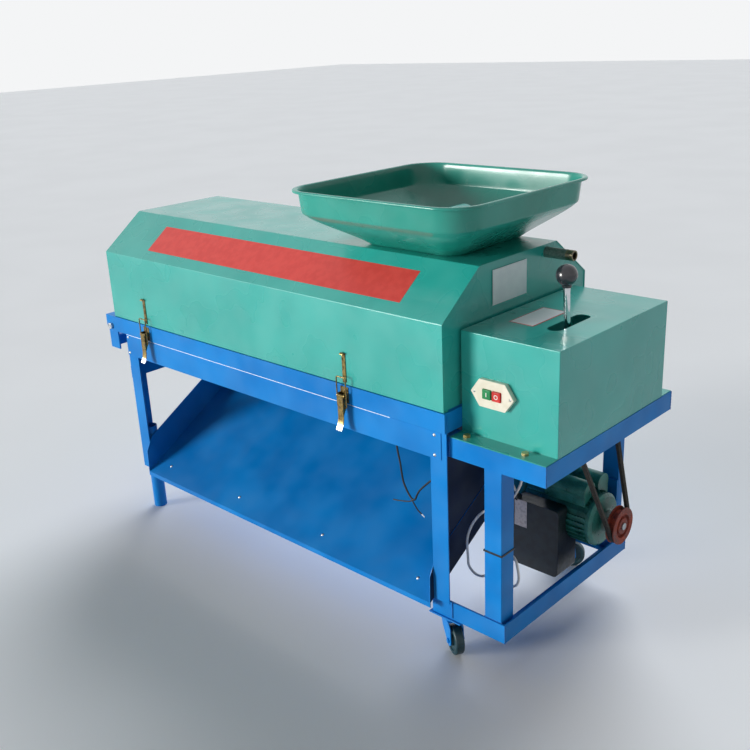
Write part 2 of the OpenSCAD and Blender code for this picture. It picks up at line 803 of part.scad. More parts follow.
// Ribbed motor body with its feet; the stator bore clears the rotor
module motor_frame() color(motor_green) difference() {
  union() {
    round_x(motor_x0, motor_x1, motor_r - 7, motor_y, motor_z);
    motor_ribs();
    for (z = motor_bolt_zs) span([motor_bolt_xs[0] - 18, motor_y + 30, z - 14],
                                 [motor_bolt_xs[1] + 18, motor_plate_y, z + 14]);
    span([motor_bolt_xs[0] - 18, motor_y + 20, motor_bolt_zs[0]],
         [motor_bolt_xs[1] + 18, motor_y + 60, motor_bolt_zs[1]]);
  }
  round_x(motor_x0 - past, motor_x1 + past, rotor_r + gap, motor_y, motor_z);
  for (z = motor_bolt_zs) span([motor_bolt_xs[0] - 20, motor_y + 30, z < motor_z ? z - 20 : z - 8],
                               [motor_bolt_xs[1] + 20, motor_plate_y - 10, z < motor_z ? z + 8 : z + 20]);
  motor_bolts(bolt_gap);
}

module motor_ribs() {
  ribs = 28;
  for (i = [0:ribs - 1]) translate([0, motor_y, motor_z]) rotate([360 * (i + 0.5) / ribs, 0, 0])
    span([motor_x0 + 6, motor_r - 12, -1.5], [motor_x1 - 6, motor_r, 1.5]);
}

// End shields, turned with a raised bearing boss
module end_shield(x, way) translate([x, motor_y, motor_z]) rotate([0, way * 90, 0])
  rotate_extrude() polygon([
    [motor_shaft_d / 2 + run, 0], [motor_r - 1, 0], [motor_r - 1, 8], [motor_r - 10, shield_t * 0.7],
    [36, shield_t * 0.8], [30, shield_t], [motor_shaft_d / 2 + run, shield_t]
  ]);
module motor_end_shields() color(motor_green) {
  end_shield(motor_x1, 1);
  end_shield(motor_x0, -1);
}

// Pressed fan cover with a slotted back
module motor_fan_cover() color(motor_green) translate([motor_x0 - 9, motor_y, motor_z])
  rotate([0, -90, 0]) difference() {
    rotate_extrude() polygon([
      [motor_r - 1, -6], [motor_r + 1, -6], [motor_r + 1, fan_cover_l - 12],
      [motor_r - 11, fan_cover_l], [0, fan_cover_l], [0, fan_cover_l - sheet],
      [motor_r - 12, fan_cover_l - sheet], [motor_r - 1, fan_cover_l - 13]
    ]);
    for (i = [0:11]) rotate([0, 0, 30 * i])
      span([22, -3, fan_cover_l - 6], [motor_r - 16, 3, fan_cover_l + past]);
  }

// Two hollow capacitor covers seated on top of the motor body
module capacitor_covers() color(motor_green) difference() {
  for (side = [-1, 1]) translate([0, motor_y + side * cap_off, motor_z + motor_r + cap_rise])
    difference() {
      capacitor_form(motor_x0 + motor_l / 3, motor_x1 - 12, cap_r);
      capacitor_form(motor_x0 + motor_l / 3 + cap_wall, motor_x1 - 12 - cap_wall, cap_r - cap_wall);
    }
  round_x(motor_x0 - past, motor_x1 + past, motor_r + 0.2, motor_y, motor_z);
  span([motor_x0, motor_y - 7.5, motor_z], [motor_x1, motor_y + 7.5, motor_z + motor_d]);
}

module capacitor_form(x0, x1, r) {
  round_x(x0, x1, r);
  span([x0, -r + 2, -36], [x1, r - 2, 0]);
}

// Deep terminal box on the front of the motor, open to the motor body
module terminal_box() color([0.10, 0.13, 0.15]) difference() {
  wall = box_wall;
  middle = motor_x0 + box_l / 2 - wall;
  front = motor_y - motor_r - box_depth;
  translate([middle, 0, motor_z - box_drop]) {
    difference() {
      pull_y(front, motor_y - 22) rounded(box_l, box_h, 14);
      pull_y(front + wall, motor_y) rounded(box_l - 2 * wall, box_h - 2 * wall, 14 - wall);
    }
  }
  round_x(motor_x0 - shield_t, motor_x1 + past, motor_r + 0.2, motor_y, motor_z);
}

// Plate welded between the rear leg and the rear post
module motor_plate() color(frame_blue) difference() {
  span([leg_x + angle_t, motor_plate_y, motor_z - motor_r - 7],
       [post_x + post_w, motor_plate_y + motor_plate_t, motor_z + motor_r + 7]);
  motor_bolts(bolt_gap);
}

// Rotor: a shaft through both shields with its iron core
module motor_rotor() color(steel) {
  round_x(motor_x0 - fan_cover_l + 14, drive_x + 16, motor_shaft_d / 2, motor_y, motor_z);
  round_x(motor_x0 + 35, motor_x1 - 35, rotor_r, motor_y, motor_z);
}

// Plastic fan with straight blades on a hub
module cooling_fan() color(black) translate([motor_x0 - 46, motor_y, motor_z]) {
  difference() {
    union() {
      round_x(0, 20, 20);
      round_x(18, 20, motor_r - 14);
      for (i = [0:6]) rotate([360 * i / 7, 0, 0])
        span([0, 18, -1.5], [19, motor_r - 16, 1.5]);
    }
    round_x(-past, 21, motor_shaft_d / 2);
  }
}

// Grooved pulley about the X axis; web and hub behind the rim
module pulley(x, y, z, pitch_r, bore_r) translate([x - pulley_w / 2, y, z])
  rotate([0, 90, 0]) rotate_extrude() {
    outer = pitch_r + 6;
    floor_r = pitch_r - belt_h / 2 - gap - 0.6;
    mid = pulley_w / 2;
    half = belt_w / 2 + gap;
    difference() {
      polygon([
        [bore_r, 0], [bore_r, pulley_w], [bore_r + 13, pulley_w], [bore_r + 15, mid + 4],
        [max(floor_r - 9, bore_r + 16), mid + 4], [max(floor_r - 7, bore_r + 18), pulley_w],
        [outer, pulley_w], [outer, 0], [max(floor_r - 7, bore_r + 18), 0],
        [max(floor_r - 9, bore_r + 16), mid - 4], [bore_r + 15, mid - 4], [bore_r + 13, 0]
      ]);
      polygon([
        [floor_r, mid - half], [outer + past, mid - half - 1.6],
        [outer + past, mid + half + 1.6], [floor_r, mid + half]
      ]);
    }
  }
module roller_pulley() color(cast) pulley(drive_x, 0, shaft_z, roller_pitch_r, shaft_r);
module motor_pulley() color(pulley_red)
  pulley(drive_x, motor_y, motor_z, motor_pitch_r, motor_shaft_d / 2);

// Closed loop round both pulleys, at a distance outside their pitch circles
function arc_points(y, z, r, a0, a1, n) = [
  for (i = [0:n]) let (a = a0 + (a1 - a0) * i / n) [y + r * cos(a), z + r * sin(a)]
];
module belt_loop(out) polygon(concat(
  arc_points(0, shaft_z, roller_pitch_r + out, belt_lean + belt_open,
             belt_lean - belt_open + 360, 56),
  arc_points(motor_y, motor_z, motor_pitch_r + out, belt_lean - belt_open,
             belt_lean + belt_open, 40)
));
module drive_belt() color(black) pull_x(drive_x - belt_w / 2, drive_x + belt_w / 2)
  difference() {
    belt_loop(belt_h / 2);
    belt_loop(-belt_h / 2);
  }

// Clutch lever

// Flat bracket from the ring, with the pivot pin of the lever
module lever_bracket() color(frame_blue) {
  x = lever_x - 22.5;
  pull_x(x, x + 5) {
    polygon([
      [-ring_in_y, ring_top - angle_w + 4], [-ring_in_y, ring_flange_z],
      [-ring_y + angle_w + 4, ring_flange_z], [lever_y - hub_r * 0.8, lever_z + hub_r * 0.6],
      [lever_y + hub_r * 0.7, lever_z - hub_r * 0.7], [lever_y - 10, lever_z - 36]
    ]);
    translate([lever_y, lever_z]) circle(hub_r);
  }
  round_x(x, lever_x + 12, pivot_r, lever_y, lever_z);
  round_x(lever_x + 9.6, lever_x + 12, pivot_r + 3, lever_y, lever_z);
}

// Lever: a leaning rod in a hub, and a flat arm down to the idler pin
module clutch_lever() color(steel) difference() {
  union() {
    translate([lever_x, lever_y, lever_z]) rotate([lever_lean, 0, 0])
      cylinder(d = rod_d, h = knob_reach);
    round_x(lever_x - 17, lever_x + 9, hub_r, lever_y, lever_z);
    translate([lever_x - arm_t / 2, lever_y, lever_z])
      rotate([atan2(idler_z - lever_z, idler_y - lever_y), 0, 0])
        span([0, 0, -11], [arm_t, norm([idler_z - lever_z, idler_y - lever_y]), 11]);
    round_x(lever_x - arm_t / 2, lever_x + arm_t / 2, 11, idler_y, idler_z);
    round_x(lever_x, idler_x + idler_w / 2 + 4, pivot_r, idler_y, idler_z);
    round_x(lever_x, idler_x - idler_w / 2 - gap, pivot_r + 3, idler_y, idler_z);
    round_x(idler_x + idler_w / 2 + gap, idler_x + idler_w / 2 + 4, pivot_r + 3, idler_y, idler_z);
  }
  round_x(lever_x - 20, lever_x + 12, pivot_r + run, lever_y, lever_z);
}

// Ball knob with a short collar, threaded on the rod
module lever_knob() color(black) translate([lever_x, lever_y, lever_z]) rotate([lever_lean, 0, 0])
  translate([0, 0, knob_reach]) difference() {
    rotate_extrude() {
      intersection() {
        circle(d = knob_d);
        translate([0, -knob_d]) square(2 * knob_d);
      }
      translate([0, -knob_d / 2 - 4]) square([rod_d / 2 + 3, 12]);
    }
    translate([0, 0, -knob_d]) cylinder(d = rod_d, h = knob_d);
  }

// Flat-faced idler that presses the front run of the belt
module idler_wheel() color(cast) difference() {
  union() {
    round_x(idler_x - idler_w / 2, idler_x + idler_w / 2, idler_d / 2 - 1, idler_y, idler_z);
    for (s = [-1, 1]) round_x(idler_x + s * (idler_w / 2 - 1.5) - 1.5,
                              idler_x + s * (idler_w / 2 - 1.5) + 1.5, idler_d / 2, idler_y, idler_z);
  }
  round_x(idler_x - idler_w, idler_x + idler_w, pivot_r + run, idler_y, idler_z);
}

// Hinges

// Leaf with its share of knuckles; up is 1 on the hood and -1 on the rail
module hinge_leaf(x, up, leaf_y, pin) {
  knuckle = hinge_leaf / 5;
  leaf_t = 2.5;
  slots = up > 0 ? [1, 3] : [0, 2, 4];
  difference() {
    union() {
      translate([x - hinge_leaf / 2, leaf_y, hinge_z + (up > 0 ? 8 : -38)])
        cube([hinge_leaf, leaf_t, 30]);
      for (i = slots) {
        x0 = x - hinge_leaf / 2 + i * knuckle + (i == 0 ? 0 : 0.3);
        x1 = x - hinge_leaf / 2 + (i + 1) * knuckle - (i == 4 ? 0 : 0.3);
        round_x(x0, x1, knuckle_r, hinge_y, hinge_z);
        span([x0, leaf_y, hinge_z + (up > 0 ? 0 : -10)], [x1, hinge_y, hinge_z + (up > 0 ? 10 : 0)]);
      }
    }
    round_x(x - hinge_leaf, x + hinge_leaf, hinge_pin_r + run, hinge_y, hinge_z);
  }
  if (pin) {
    round_x(x - hinge_leaf / 2 - 2, x + hinge_leaf / 2 + 2, hinge_pin_r, hinge_y, hinge_z);
    for (s = [-1, 1]) round_x(x + s * (hinge_leaf / 2 + 1) - 1, x + s * (hinge_leaf / 2 + 1) + 1,
                              hinge_pin_r + 1.5, hinge_y, hinge_z);
  }
}
module rail_hinge_leaves() color(zinc) for (x = hinge_xs) hinge_leaf(x, -1, rail_y, true);
module hood_hinge_leaves() color(zinc) for (x = hinge_xs) hinge_leaf(x, 1, hood_w / 2, false);

// Toggle latches

// Base plate on the rail with two ears and the lever pin
module latch_bases() color(yellow_zinc) for (x = latch_xs) {
  ear = 2.5;
  span([x - latch_w / 2 - ear - 1, -rail_y - sheet, rail_bottom + 4],
       [x + latch_w / 2 + ear + 1, -rail_y, rail_top - 4]);
  for (s = [-1, 1]) difference() {
    union() {
      round_x(x + s * (latch_w / 2 + ear / 2 + 0.5) - ear / 2,
              x + s * (latch_w / 2 + ear / 2 + 0.5) + ear / 2, 6.5, latch_pivot_y, latch_pivot_z);
      span([x + s * (latch_w / 2 + ear / 2 + 0.5) - ear / 2, latch_pivot_y, latch_pivot_z - 6.5],
           [x + s * (latch_w / 2 + ear / 2 + 0.5) + ear / 2, -rail_y - sheet, latch_pivot_z + 6.5]);
    }
  }
  round_x(x - latch_w / 2 - ear - 0.5, x + latch_w / 2 + ear + 0.5, 2.5, latch_pivot_y, latch_pivot_z);
}

// Lever: a channel on the pin that flares out to a finger tab
module latch_lever(x) color(yellow_zinc) difference() {
  tip = latch_pivot_z - 92;
  face = latch_pivot_y - 5;
  union() {
    pull_x(x - latch_w / 2, x + latch_w / 2) polygon([
      [face, latch_pivot_z + 4], [face - 2, latch_pivot_z + 2], [face - 2, latch_pivot_z - 60],
      [face - 5, tip + 16], [face - 12, tip + 2], [face - 10.5, tip], [face - 3, tip + 15],
      [face, latch_pivot_z - 60]
    ]);
    for (s = [-1, 1]) pull_x(x + s * (latch_w / 2 - 1) - 1, x + s * (latch_w / 2 - 1) + 1) {
      translate([latch_pivot_y, latch_pivot_z]) circle(5.5);
      translate([latch_pivot_y, latch_pivot_z - loop_drop]) circle(5);
      polygon([
        [face, latch_pivot_z + 4], [latch_pivot_y + 4, latch_pivot_z + 3],
        [latch_pivot_y + 4, latch_pivot_z - loop_drop - 2], [face - 1, latch_pivot_z - loop_drop - 22],
      ]);
    }
  }
  round_x(x - latch_w, x + latch_w, 2.5 + run, latch_pivot_y, latch_pivot_z);
  round_x(x - latch_w, x + latch_w, wire_d / 2 + run, latch_pivot_y, latch_pivot_z - loop_drop);
}
module left_latch_lever() latch_lever(latch_xs[0]);
module right_latch_lever() latch_lever(latch_xs[1]);

// Wire loop: two legs outside the lever, a top bar, and ends turned into the lever
module latch_loop(x) color(zinc) {
  half = latch_w / 2 + 6;
  low = latch_pivot_z - loop_drop;
  bend = 6;
  wire_r = wire_d / 2;
  for (s = [-1, 1]) {
    translate([x + s * half, latch_pivot_y, low + bend])
      cylinder(r = wire_r, h = loop_l - 2 * bend);
    translate([x + s * (half - bend), latch_pivot_y, low + loop_l - bend])
      rotate([90, 0, 0]) rotate_extrude_quarter(bend, wire_r, s > 0 ? 0 : 90);
    translate([x + s * (half - bend), latch_pivot_y, low + bend])
      rotate([90, 0, 0]) rotate_extrude_quarter(bend, wire_r, s > 0 ? 270 : 180);
    round_x(min(x + s * (half - bend), x + s * (latch_w / 2 - 2.2)),
            max(x + s * (half - bend), x + s * (latch_w / 2 - 2.2)), wire_r, latch_pivot_y, low);
  }
  round_x(x - half + bend, x + half - bend, wire_r, latch_pivot_y, low + loop_l);
}

// Quarter bend of wire about the Z axis, starting at an angle
module rotate_extrude_quarter(r, wire_r, start) rotate([0, 0, start])
  rotate_extrude(angle = 90) translate([r, 0]) circle(wire_r);
module left_latch_loop() latch_loop(latch_xs[0]);
module right_latch_loop() latch_loop(latch_xs[1]);

// Keeper strips on the hood, each with its top rolled outwards
module latch_keepers() color(zinc) for (x = latch_xs) {
  face = -hood_w / 2;
  curl = 5;
  pull_x(x - keeper_w / 2, x + keeper_w / 2) {
    translate([face - sheet, hood_z + 6]) square([sheet, keeper_top - curl - hood_z - 6]);
    translate([face - curl, keeper_top - curl]) difference() {
      circle(curl);
      circle(curl - sheet);
      translate([-2 * curl, -2 * curl]) square([4 * curl, 2 * curl]);
    }
  }
}

// Hood

// Half of the hood's outline from the lower edge to the top, drawn in by a distance
hood_bevel = atan2(hood_h - hood_wall_h, (hood_w - hood_top_w) / 2);
function hood_half(in, low) = [
  [hood_w / 2 - in, low],
  [hood_w / 2 - in, hood_wall_h - in * tan((90 - hood_bevel) / 2)],
  [hood_top_w / 2 - in * tan(hood_bevel / 2), hood_h - in]
];
function left_of(p) = [for (q = p) [-q.x, q.y]];
function back_order(p) = [for (i = [len(p) - 1:-1:0]) p[i]];

// One bent sheet with its lower edges turned in, and a hole under the basin
module hood_shell() color(hood_green) difference() {
  outer = hood_half(0, 0);
  inner = concat([[hood_w / 2 - 18, 0], [hood_w / 2 - 18, sheet]], hood_half(sheet, sheet));
  translate([0, 0, hood_z]) pull_x(outlet_x, 0) polygon(concat(
    outer, back_order(left_of(outer)), left_of(inner), back_order(inner)
  ));
  translate([-basin_x, feed_y, hood_top - 3 * sheet]) linear_extrude(6 * sheet)
    rounded(feed_l, feed_w, 20);
}

// Flat end plates inside the shell; the pipe passes through the one at the drive end
module hood_end_plates() color(hood_green) difference() {
  for (x = [outlet_x + sheet, -2 * sheet]) translate([0, 0, hood_z]) pull_x(x, x + sheet)
    polygon(concat(hood_half(sheet, sheet), back_order(left_of(hood_half(sheet, sheet)))));
  round_x(-3 * sheet, past, pipe_r, pipe_y, pipe_z);
}

// Height of one level of the basin, with its half sizes and corner
module basin_slab(z, l, w, r, y, t = 0.5) translate([-basin_x, y, z]) linear_extrude(t)
  rounded(l, w, r, $fn = 32);

// Pressed basin: a tapered lower part, a steeper wall, and an outward rim
module feed_basin() color(hood_green) difference() {
  foot_y = 18;
  knee_l = basin_l - 14;
  knee_w = basin_w - 14;
  knee_z = hood_top + basin_h - basin_wall_h;
  top = hood_top + basin_h;
  union() {
    hull() {
      basin_slab(hood_top, basin_foot_l, basin_foot_w, 45, foot_y);
      basin_slab(knee_z, knee_l, knee_w, basin_r - 4, 0);
    }
    hull() {
      basin_slab(knee_z, knee_l, knee_w, basin_r - 4, 0);
      basin_slab(top - 0.5, basin_l, basin_w, basin_r, 0);
    }
    basin_slab(top - 3, basin_l + 2 * rim_w, basin_w + 2 * rim_w, basin_r + rim_w, 0, 3);
    difference() {
      basin_slab(top - 9, basin_l + 2 * rim_w, basin_w + 2 * rim_w, basin_r + rim_w, 0, 7);
      basin_slab(top - 10, basin_l + 2 * rim_w - 5, basin_w + 2 * rim_w - 5, basin_r + rim_w - 2.5, 0, 9);
    }
  }
  hull() {
    basin_slab(hood_top + sheet, basin_foot_l - 2 * sheet, basin_foot_w - 2 * sheet, 43, foot_y);
    basin_slab(knee_z, knee_l - 2 * sheet, knee_w - 2 * sheet, basin_r - 6, 0);
  }
  hull() {
    basin_slab(knee_z, knee_l - 2 * sheet, knee_w - 2 * sheet, basin_r - 6, 0);
    basin_slab(top + past, basin_l - 2 * sheet, basin_w - 2 * sheet, basin_r - 2, 0);
  }
  translate([-basin_x, feed_y, hood_top - past]) linear_extrude(6 * sheet)
    rounded(feed_l, feed_w, 20);
}

// Arched guard that bridges the throat
module throat_guard() color(hood_green) translate([-basin_x, 0, hood_top + sheet])
  pull_y(feed_y - feed_w / 2 - 12, feed_y + feed_w / 2 + 12) {
    half = 44;
    rise = 34;
    difference() {
      arch(half, rise);
      translate([0, -past]) arch(half - sheet, rise + past);
    }
  }

module arch(half, rise) {
  translate([-half, 0]) square([2 * half, rise]);
  intersection() {
    translate([0, rise]) circle(half);
    translate([-half, rise]) square([2 * half, half]);
  }
}

// Water pipe under the top of the hood, and its bare threaded nipple outside
pipe_r = 13.45;
pipe_y = 117;
pipe_z = hood_top - 21;
pipe_out = 60;
nipple_l = 20;
nipple_r = 13.2;
module water_pipe() color(hood_green) difference() {
  round_x(outlet_x + 2 * sheet, pipe_out, pipe_r, pipe_y, pipe_z);
  round_x(outlet_x + 4 * sheet, pipe_out + past, pipe_r - 3, pipe_y, pipe_z);
  for (i = [1:11]) translate([outlet_x + i * hood_l / 12, pipe_y, pipe_z - pipe_r - past])
    cylinder(d = 4, h = pipe_r, $fn = 16);
}
module water_nipple() color(yellow_zinc) difference() {
  round_x(pipe_out, pipe_out + nipple_l, nipple_r, pipe_y, pipe_z);
  round_x(pipe_out - past, pipe_out + nipple_l + past, nipple_r - 3.5, pipe_y, pipe_z);
}

// Roller

// Shaft through both bearings
module roller_shaft() color(steel)
  round_x(rails_x0 - 6, drive_x + pulley_w / 2 + 12, shaft_r, 0, shaft_z);

// Roller tube with an end disc at each end
module brush_core() color(cast) difference() {
  round_x(core_x0, core_x1, core_d / 2, 0, shaft_z);
  round_x(core_x0 + 6, core_x1 - 6, core_d / 2 - 4, 0, shaft_z);
  round_x(core_x0 - past, core_x1 + past, shaft_r, 0, shaft_z);
}

// Tapered brush strips set round the tube
module brush_strips() color(black) difference() {
  for (i = [0:brush_count - 1]) translate([0, 0, shaft_z]) rotate([360 * (i + 0.5) / brush_count, 0, 0])
    pull_x(core_x0 + 10, core_x1 - 10) polygon([
      [core_d / 2 - 6, -13], [brush_d / 2, -8], [brush_d / 2, 8], [core_d / 2 - 6, 13]
    ]);
  round_x(core_x0, core_x1, core_d / 2, 0, shaft_z);
}

// Casters

// Fixed plate with the race of the swivel
module caster_plates() color(frame_blue) both_sides() translate([caster_x, -caster_y, 0])
  difference() {
    union() {
      translate([-caster_plate.x / 2, -caster_plate.y / 2, base_z - caster_plate.z]) cube(caster_plate);
      translate([0, 0, base_z - caster_plate.z - 5]) cylinder(r = 22, h = 6);
    }
    translate([0, 0, base_z - 20]) cylinder(r = kingpin_r + run, h = 30);
    translate([-caster_x, caster_y, 0]) caster_bolts(bolt_gap);
  }

// Swivel fork with its kingpin and the axle
module caster_fork() color(frame_blue)
  translate([caster_x, -caster_y, 0]) rotate([0, 0, -caster_turn]) {
  crown = base_z - caster_plate.z - 5 - gap;
  cylinder_z(crown - 7, crown, 20);
  cylinder_z(crown - 7, base_z - 1, kingpin_r);
  span([-24, -fork_gap - fork_t, crown - 10], [20, fork_gap + fork_t, crown - 7]);
  for (s = [-1, 1]) fork_cheek(s, crown);
  round_y(-fork_gap - fork_t - 3, fork_gap + fork_t + 3, axle_r, caster_trail, wheel_r);
  for (s = [-1, 1]) translate([caster_trail, s * (fork_gap + fork_t + 2), wheel_r])
    rotate([90, 0, 0]) cylinder(r = 7, h = 4, center = true, $fn = 6);
}

module cylinder_z(z0, z1, r) translate([0, 0, z0]) cylinder(r = r, h = z1 - z0);

module fork_cheek(s, crown) {
  y0 = s > 0 ? fork_gap : -fork_gap - fork_t;
  pull_y(y0, y0 + fork_t) {
    translate([caster_trail, wheel_r]) circle(14);
    polygon([
      [-24, crown - 7], [20, crown - 7], [33, crown - 20], [caster_trail + 13.5, wheel_r + 3],
      [caster_trail - 11, wheel_r - 8.5], [-20, crown - 34], [-26, crown - 20]
    ]);
  }
}
module front_caster_fork() caster_fork();
module rear_caster_fork() mirror([0, 1, 0]) caster_fork();

// Moulded wheel with a rounded tread and a hub proud of it
module caster_wheel() color([0.10, 0.22, 0.24])
  translate([caster_x, -caster_y, wheel_r]) rotate([0, 0, -caster_turn])
  translate([caster_trail, 0, 0]) rotate([90, 0, 0]) rotate_extrude() {
    half = wheel_w / 2;
    hub = fork_gap - 1;
    difference() {
      union() {
        translate([axle_r + run, -half]) square([wheel_r - axle_r - run - 5, wheel_w]);
        translate([wheel_r - 5, -half + 5]) square([5, wheel_w - 10]);
        for (s = [-1, 1]) translate([wheel_r - 5, s * (half - 5)]) circle(5);
        translate([axle_r + run, -hub]) square([8, 2 * hub]);
      }
      for (s = [-1, 1]) translate([15, s * half - 3]) square([wheel_r - 26, 6]);
    }
  }
module front_caster_wheel() caster_wheel();
module rear_caster_wheel() mirror([0, 1, 0]) caster_wheel();

// Wires

module motor_lead() color(white) tube_along(motor_lead_route, motor_lead_d, 8, 3);
module slack_lead() color(black) tube_along(slack_lead_route, slack_lead_d, 8, 3);

// A tie round the front post and a twist tie on the slack lead
module wire_ties() color(black) {
  z = 337;
  difference() {
    span([post_x - 2, -ring_in_y - 2, z], [post_x + post_w + 2, -ring_in_y + post_w + 2, z + 5]);
    span([post_x, -ring_in_y, z - past], [post_x + post_w, -ring_in_y + post_w, z + 6]);
  }
}

// Each piece at its place, with the origin under the middle of the machine
module place() translate([-origin_x, 0, 0]) children();

place() top_rails();
place() legs();
place() left_feet();
place() drive_ring();
place() drive_posts();
place() base_rails();
place() apron_plates();
place() frame_screws();
place() tray();
place() splash_panel();
place() sieve();
place() bearing_bar();
place() bearing_housings();
place() drive_cover();
place() hex_bolts();
place() switch_body();
place() motor_frame();
place() motor_end_shields();
place() motor_fan_cover();
place() capacitor_covers();
place() terminal_box();
place() motor_plate();
place() drive_belt();
place() lever_bracket();
place() rail_hinge_leaves();
place() latch_bases();
place() caster_plates();
place() outlet_chute();
place() motor_lead();
place() slack_lead();
place() wire_ties();
place() hood_shell();
place() hood_end_plates();
place() feed_basin();
place() throat_guard();
place() water_pipe();
place() water_nipple();
place() latch_keepers();
place() hood_hinge_leaves();
place() roller_shaft();
place() brush_core();
place() brush_strips();
place() roller_pulley();
place() motor_rotor();
place() cooling_fan();
place() motor_pulley();
place() clutch_lever();
place() lever_knob();
place() idler_wheel();
place() left_latch_lever();
place() left_latch_loop();
place() right_latch_lever();
place() right_latch_loop();
place() start_button();
place() stop_button();
place() front_caster_fork();
place() front_caster_wheel();
place() rear_caster_fork();
place() rear_caster_wheel();
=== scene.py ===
"""Walnut huller: the dressed model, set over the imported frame."""
import json
import math
import random

import bmesh
import bpy
from mathutils import Matrix, Vector

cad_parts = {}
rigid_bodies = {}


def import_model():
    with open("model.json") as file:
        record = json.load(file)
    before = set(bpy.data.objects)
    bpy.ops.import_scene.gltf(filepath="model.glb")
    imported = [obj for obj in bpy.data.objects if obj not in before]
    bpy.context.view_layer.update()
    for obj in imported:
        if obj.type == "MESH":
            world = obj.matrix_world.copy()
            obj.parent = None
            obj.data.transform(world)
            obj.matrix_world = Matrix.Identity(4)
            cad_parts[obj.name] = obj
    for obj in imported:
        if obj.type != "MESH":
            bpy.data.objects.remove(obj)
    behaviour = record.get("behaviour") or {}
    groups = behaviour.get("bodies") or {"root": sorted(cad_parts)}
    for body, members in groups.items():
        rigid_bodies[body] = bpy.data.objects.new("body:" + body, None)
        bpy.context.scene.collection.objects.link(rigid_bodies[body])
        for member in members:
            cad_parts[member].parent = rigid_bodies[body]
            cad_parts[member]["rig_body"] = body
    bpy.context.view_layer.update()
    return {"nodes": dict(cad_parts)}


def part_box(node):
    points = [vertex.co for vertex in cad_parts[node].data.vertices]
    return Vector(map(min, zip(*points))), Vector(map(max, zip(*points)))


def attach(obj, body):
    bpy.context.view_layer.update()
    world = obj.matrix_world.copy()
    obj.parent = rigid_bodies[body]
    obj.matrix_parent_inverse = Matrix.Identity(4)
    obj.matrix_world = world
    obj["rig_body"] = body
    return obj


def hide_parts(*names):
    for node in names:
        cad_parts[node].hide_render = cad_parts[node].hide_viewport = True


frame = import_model()

# The source's X runs from the drive-end face of the hood; the row frame's from under the middle
SOURCE_ORIGIN_X = -609.0
FULL_TURN = 2 * math.pi

# Places in the source's millimetres
SHAFT_Z = 647
LEVER_PIVOT = (174, -46, 640)
HOOD_TOP = 990.4
HOOD_FOLD = (-300, 884.4)
HOOD_CROWN_Y = -160
COVER_TOP = 858
BOX_FRONT_Y = 59
SWITCH_Z = 723


def at(x, y, z):
    """A point given in the source's millimetres, in the row frame in metres."""
    return Vector(((x - SOURCE_ORIGIN_X) / 1000, y / 1000, z / 1000))


def mm(length):
    return length / 1000


# Camera, fitted to the photograph's own lines

def photo_camera():
    lens = bpy.data.cameras.new("photo_view")
    lens.lens = 45.68
    lens.sensor_width = 36
    lens.clip_end = 60
    camera = bpy.data.objects.new("photo_view", lens)
    bpy.context.scene.collection.objects.link(camera)
    right = Vector((0.72937, 0.68270, -0.04407))
    up = Vector((-0.20452, 0.27906, 0.93824))
    back = Vector((0.65284, -0.67531, 0.34316))
    turn = Matrix((right, up, back)).transposed().to_4x4()
    camera.matrix_world = Matrix.Translation((1.9099, -1.8668, 1.5154)) @ turn
    bpy.context.scene.camera = camera


photo_camera()


# Materials

def linear(code):
    """sRGB hex to the linear colour that the shader wants."""
    parts = [int(code[i:i + 2], 16) / 255 for i in (1, 3, 5)]
    return [c / 12.92 if c <= 0.04045 else ((c + 0.055) / 1.055) ** 2.4 for c in parts] + [1]


def add(tree, kind, settings=None, links=None):
    """Adds one node, sets its properties or sockets, and links sources to its inputs."""
    made = tree.nodes.new("ShaderNode" + kind)
    for key, value in (settings or {}).items():
        if isinstance(key, str) and hasattr(made, key):
            setattr(made, key, value)
        else:
            made.inputs[key].default_value = value
    for key, source in (links or {}).items():
        tree.links.new(source, made.inputs[key])
    return made


def start_material(name):
    material = bpy.data.materials.new(name)
    material.use_nodes = True
    tree = material.node_tree
    shader = tree.nodes["Principled BSDF"]
    place = add(tree, "TexCoord").outputs["Object"]
    return material, tree, shader, place


def patches(tree, place, size, detail=3, stretch=None):
    """Noise whose patches are about this many millimetres across."""
    if stretch:
        place = add(tree, "Mapping", None, {"Vector": place})
        place.inputs["Scale"].default_value = stretch
        place = place.outputs["Vector"]
    return add(tree, "TexNoise", {"Scale": 1000 / size, "Detail": detail},
               {"Vector": place}).outputs["Fac"]


def ramp(tree, source, stops):
    """Colour ramp from (position, hex) stops."""
    made = add(tree, "ValToRGB", None, {"Fac": source})
    band = made.color_ramp
    band.interpolation = "EASE"
    while len(band.elements) < len(stops):
        band.elements.new(0.5)
    for element, (place, code) in zip(band.elements, stops):
        element.position = place
        element.color = linear(code)
    return made.outputs["Color"]


def spread(tree, source, low, high, start=0.3, end=0.7):
    """Carries the source's span from start to end over to low to high, eased at both ends."""
    return add(tree, "MapRange", {"interpolation_type": "SMOOTHSTEP", "From Min": start,
                                  "From Max": end, "To Min": low, "To Max": high},
               {"Value": source}).outputs["Result"]


def relief(tree, shader, source, depth):
    """Bump of this many millimetres from a height source."""
    bump = add(tree, "Bump", {"Distance": mm(depth), "Strength": 1.0}, {"Height": source})
    tree.links.new(bump.outputs["Normal"], shader.inputs["Normal"])


